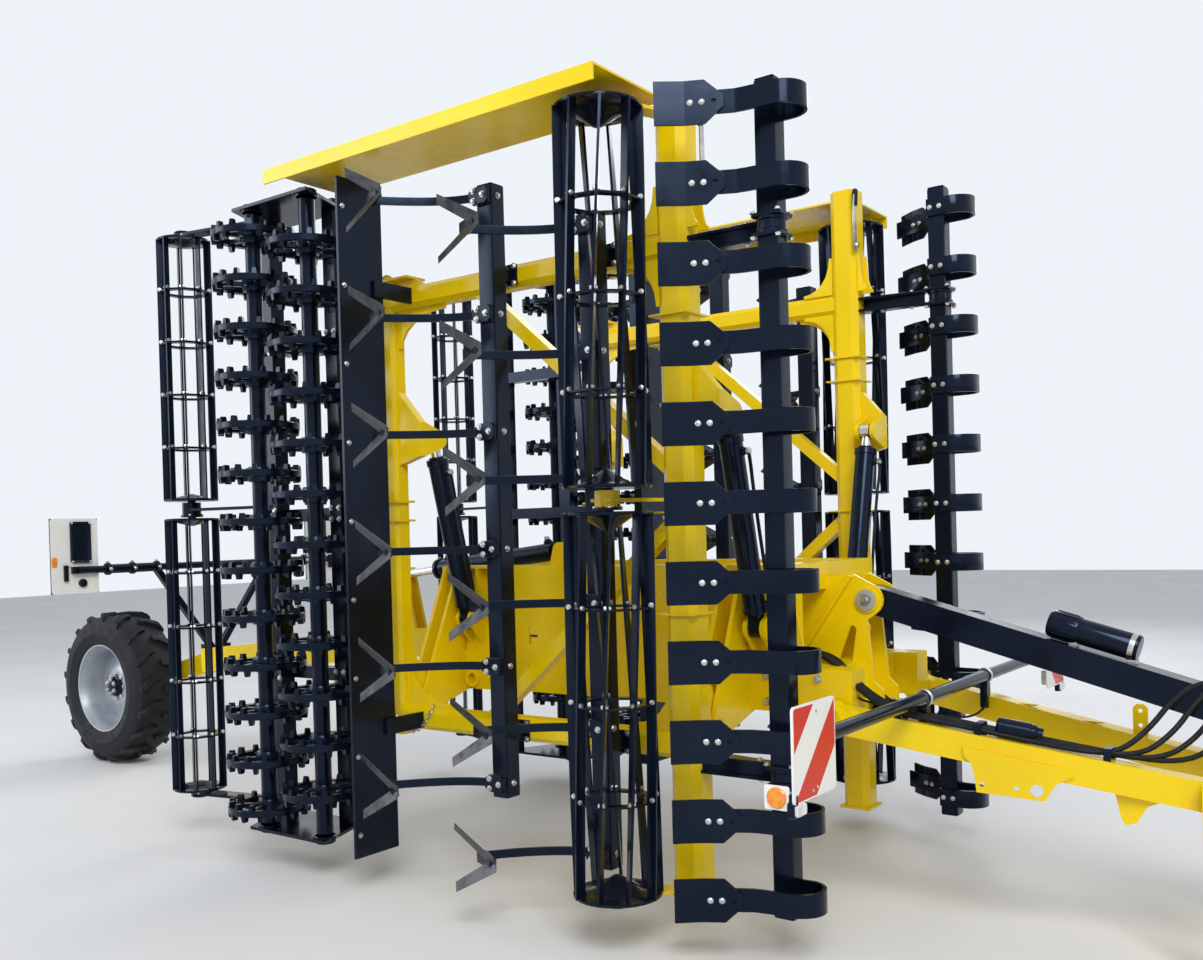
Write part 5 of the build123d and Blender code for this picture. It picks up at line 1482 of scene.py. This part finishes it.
def chain():
    """Links of the safety chain, each turned a quarter from the one before."""
    links = []
    for i in range(CHAIN_LINKS):
        share = i / (CHAIN_LINKS - 1)
        height = CHAIN_START[2] - CHAIN_FALL * share - 4 * CHAIN_SAG * share * (1 - share)
        slope = (-CHAIN_FALL - 4 * CHAIN_SAG * (1 - 2 * share)) / CHAIN_LONG
        bpy.ops.mesh.primitive_torus_add(
            major_segments=12, minor_segments=5, major_radius=0.0095, minor_radius=0.0026,
        )
        link = bpy.context.object
        link.scale = (1.55, 1.0, 1.0)
        settle(link)
        turn = Matrix.Rotation(-math.atan(slope), 4, "Y") @ Matrix.Rotation(math.pi / 2 * (i % 2), 4, "X")
        middle = at(CHAIN_START[0] + CHAIN_LONG * share, CHAIN_START[1], height)
        link.data.transform(Matrix.Translation(middle) @ turn)
        links.append(link)
    return links


def tube_levers():
    """Flat lever with a rubber grip on the front tube's top, and the safety chain below."""
    x = FRONT_TUBE_X + 66
    y = -690.0
    outline = [
        (-16, 2800), (-10, 2788), (8, 2788), (16, 2800), (13, 3000), (-1, 3066), (-13, 3066), (-13, 3000),
    ]
    lever = cut_plate("lever", [(y + a, z) for a, z in outline], x, x + 7, "x", 1.0)
    section = [(0.01, 0), (15, 0), (15, 5), (10, 13), (0.01, 13)]
    pivot = turned("lever_pivot", section, 18, (x + 7, y, 2812), (1, 0, 0))
    fit_pair(weld([lever, pivot] + chain()), "levers_and_chains", steel)
    section = [(0.01, 0), (11, 0), (13, 6), (13, 70), (10, 78), (0.01, 78)]
    grip = turned("lever_grip", section, 16, (x + 4, y - 6, 3002), (0.0, -0.10, 1.0))
    fit_pair(grip, "lever_grips", hose_rubber)


def carrier_fittings():
    """Clamp bolts of the rear carrier and their plates."""
    heads = []
    for x in (-2230.0, -2690.0):
        for z in (2420.0, 1613.5, 860.0):
            for a, b in CORNERS:
                heads.append(((x + a * 26, -889.0, z + b * 26), (0, -1, 0), 14))
    fasten_pair("carrier_bolts", heads, 0.9)


def frame_bolts():
    """Bolts along the centre frame's flanges."""
    heads = []
    for side in (-1, 1):
        for x in (-1960, -1740, -520, -300, -80):
            for z in (812, 913):
                heads.append(((x, side * 391, z), (0, side, 0), 9))
    fit(bolts("frame_bolts", heads, 1.2), "chassis", steel)


def frame_hoses():
    """Hoses clipped on the centre frame, from the tower back to the cylinders."""
    parts = []
    for i in range(4):
        y = -150 + 22 * i
        parts.append(pipe("frame_hose", [
            (20, -330 + 14 * i, 905), (-60, -260 + 20 * i, 960), (-220, y, 985), (-520, y, 990 + 4 * i),
            (-1000, y, 985), (-1500, y, 990), (-1760, y - 20, 1000),
        ], HOSE_R))
    foot_y = -FOLD_BASE.y
    to_port = ((40, 130, 990), (90, 250, 1000), (110, 380, 1060), (96, foot_y, 1170), (80, foot_y + 12, 1202))
    for side in (-1, 1):
        for x in FOLD_X:
            parts.append(pipe("cylinder_hose", [(x + dx, side * y, z) for dx, y, z in to_port], 8))
    parts.append(pipe("lift_hose", [
        (-1500, -60, 990), (-1560, -40, 1150), (-1660, -10, 1440), (-1705, 0, 1470), (-1710, 0, 1455),
    ], 8))
    fit_as("frame_hoses", parts, "chassis", hose_rubber)


# Floor, light and camera

def floor_and_light():
    bpy.ops.mesh.primitive_plane_add(size=60.0, location=(0, 0, -0.002))
    floor = bpy.context.object
    floor.name = "floor"
    finish, tree, shader, place = new_finish("floor_pale")
    vary(tree, shader.inputs["Base Color"], noise(tree, place, 0.7, 2.0), grey(0.70), grey(0.74))
    shader.inputs["Roughness"].default_value = 0.9
    floor.data.materials.append(finish)

    world = bpy.data.worlds.new("studio")
    bpy.context.scene.world = world
    world.use_nodes = True
    tree = world.node_tree
    tree.nodes.clear()
    rays = tree.nodes.new("ShaderNodeLightPath")
    seen = reckon(tree, "MAXIMUM", rays.outputs["Is Camera Ray"], rays.outputs["Is Glossy Ray"])
    both = tree.nodes.new("ShaderNodeMixShader")
    tree.links.new(seen, both.inputs["Fac"])
    for socket, colour, strength in ((1, (0.88, 0.93, 1.0, 1), 0.62), (2, (0.86, 0.90, 0.95, 1), 1.0)):
        sky = tree.nodes.new("ShaderNodeBackground")
        sky.inputs["Color"].default_value = colour
        sky.inputs["Strength"].default_value = strength
        tree.links.new(sky.outputs[0], both.inputs[socket])
    out = tree.nodes.new("ShaderNodeOutputWorld")
    tree.links.new(both.outputs[0], out.inputs["Surface"])

    for name, place, size, power in (
        ("key", (7.0, -7.5, 8.5), 5.0, 900.0),
        ("fill", (-9.0, -8.0, 5.0), 6.0, 420.0),
        ("back", (-2.0, 9.0, 7.0), 6.0, 380.0),
    ):
        bpy.ops.object.light_add(type="AREA", location=place)
        lamp = bpy.context.object
        lamp.name = name
        lamp.data.size = size
        lamp.data.energy = power
        aim = Vector((0.0, 0.0, 1.2)) - Vector(place)
        lamp.rotation_euler = aim.to_track_quat("-Z", "Y").to_euler()


def set_camera():
    forward = Vector((
        math.cos(CAMERA_PITCH) * math.cos(CAMERA_YAW),
        math.cos(CAMERA_PITCH) * math.sin(CAMERA_YAW),
        math.sin(CAMERA_PITCH),
    ))
    side = forward.cross(Vector((0, 0, 1))).normalized()
    up = side.cross(forward)
    turned_side = side * math.cos(CAMERA_ROLL) + up * math.sin(CAMERA_ROLL)
    turned_up = up * math.cos(CAMERA_ROLL) - side * math.sin(CAMERA_ROLL)
    bpy.ops.object.camera_add(location=CAMERA_PLACE)
    camera = bpy.context.object
    turn = Matrix((turned_side, turned_up, -forward)).transposed()
    camera.rotation_euler = turn.to_euler()
    camera.data.sensor_width = SENSOR_WIDTH
    camera.data.lens = FOCAL_PIXELS / IMAGE_WIDTH * SENSOR_WIDTH
    camera.data.shift_y = OPTICAL_DROP / IMAGE_WIDTH
    bpy.context.scene.camera = camera


all_rollers()
bearings()
levellers()
tines()
board_fixings()
tyre()
rim()
warning_boards()
warning_bar_fittings()
lamp_boards()
lamp_slides()
document_tube()
drawbar_hoses()
hose_clips()
lamp_cables()
drawbar_steps()
tower_fittings()
fold_cylinder_fittings()
lift_cylinder_fittings()
stand_fittings()
wing_gussets()
tube_levers()
carrier_fittings()
frame_bolts()
frame_hoses()
scrap(bolt_master, round_bolt_master)
floor_and_light()
set_camera()
bpy.context.scene.view_settings.view_transform = "Standard"
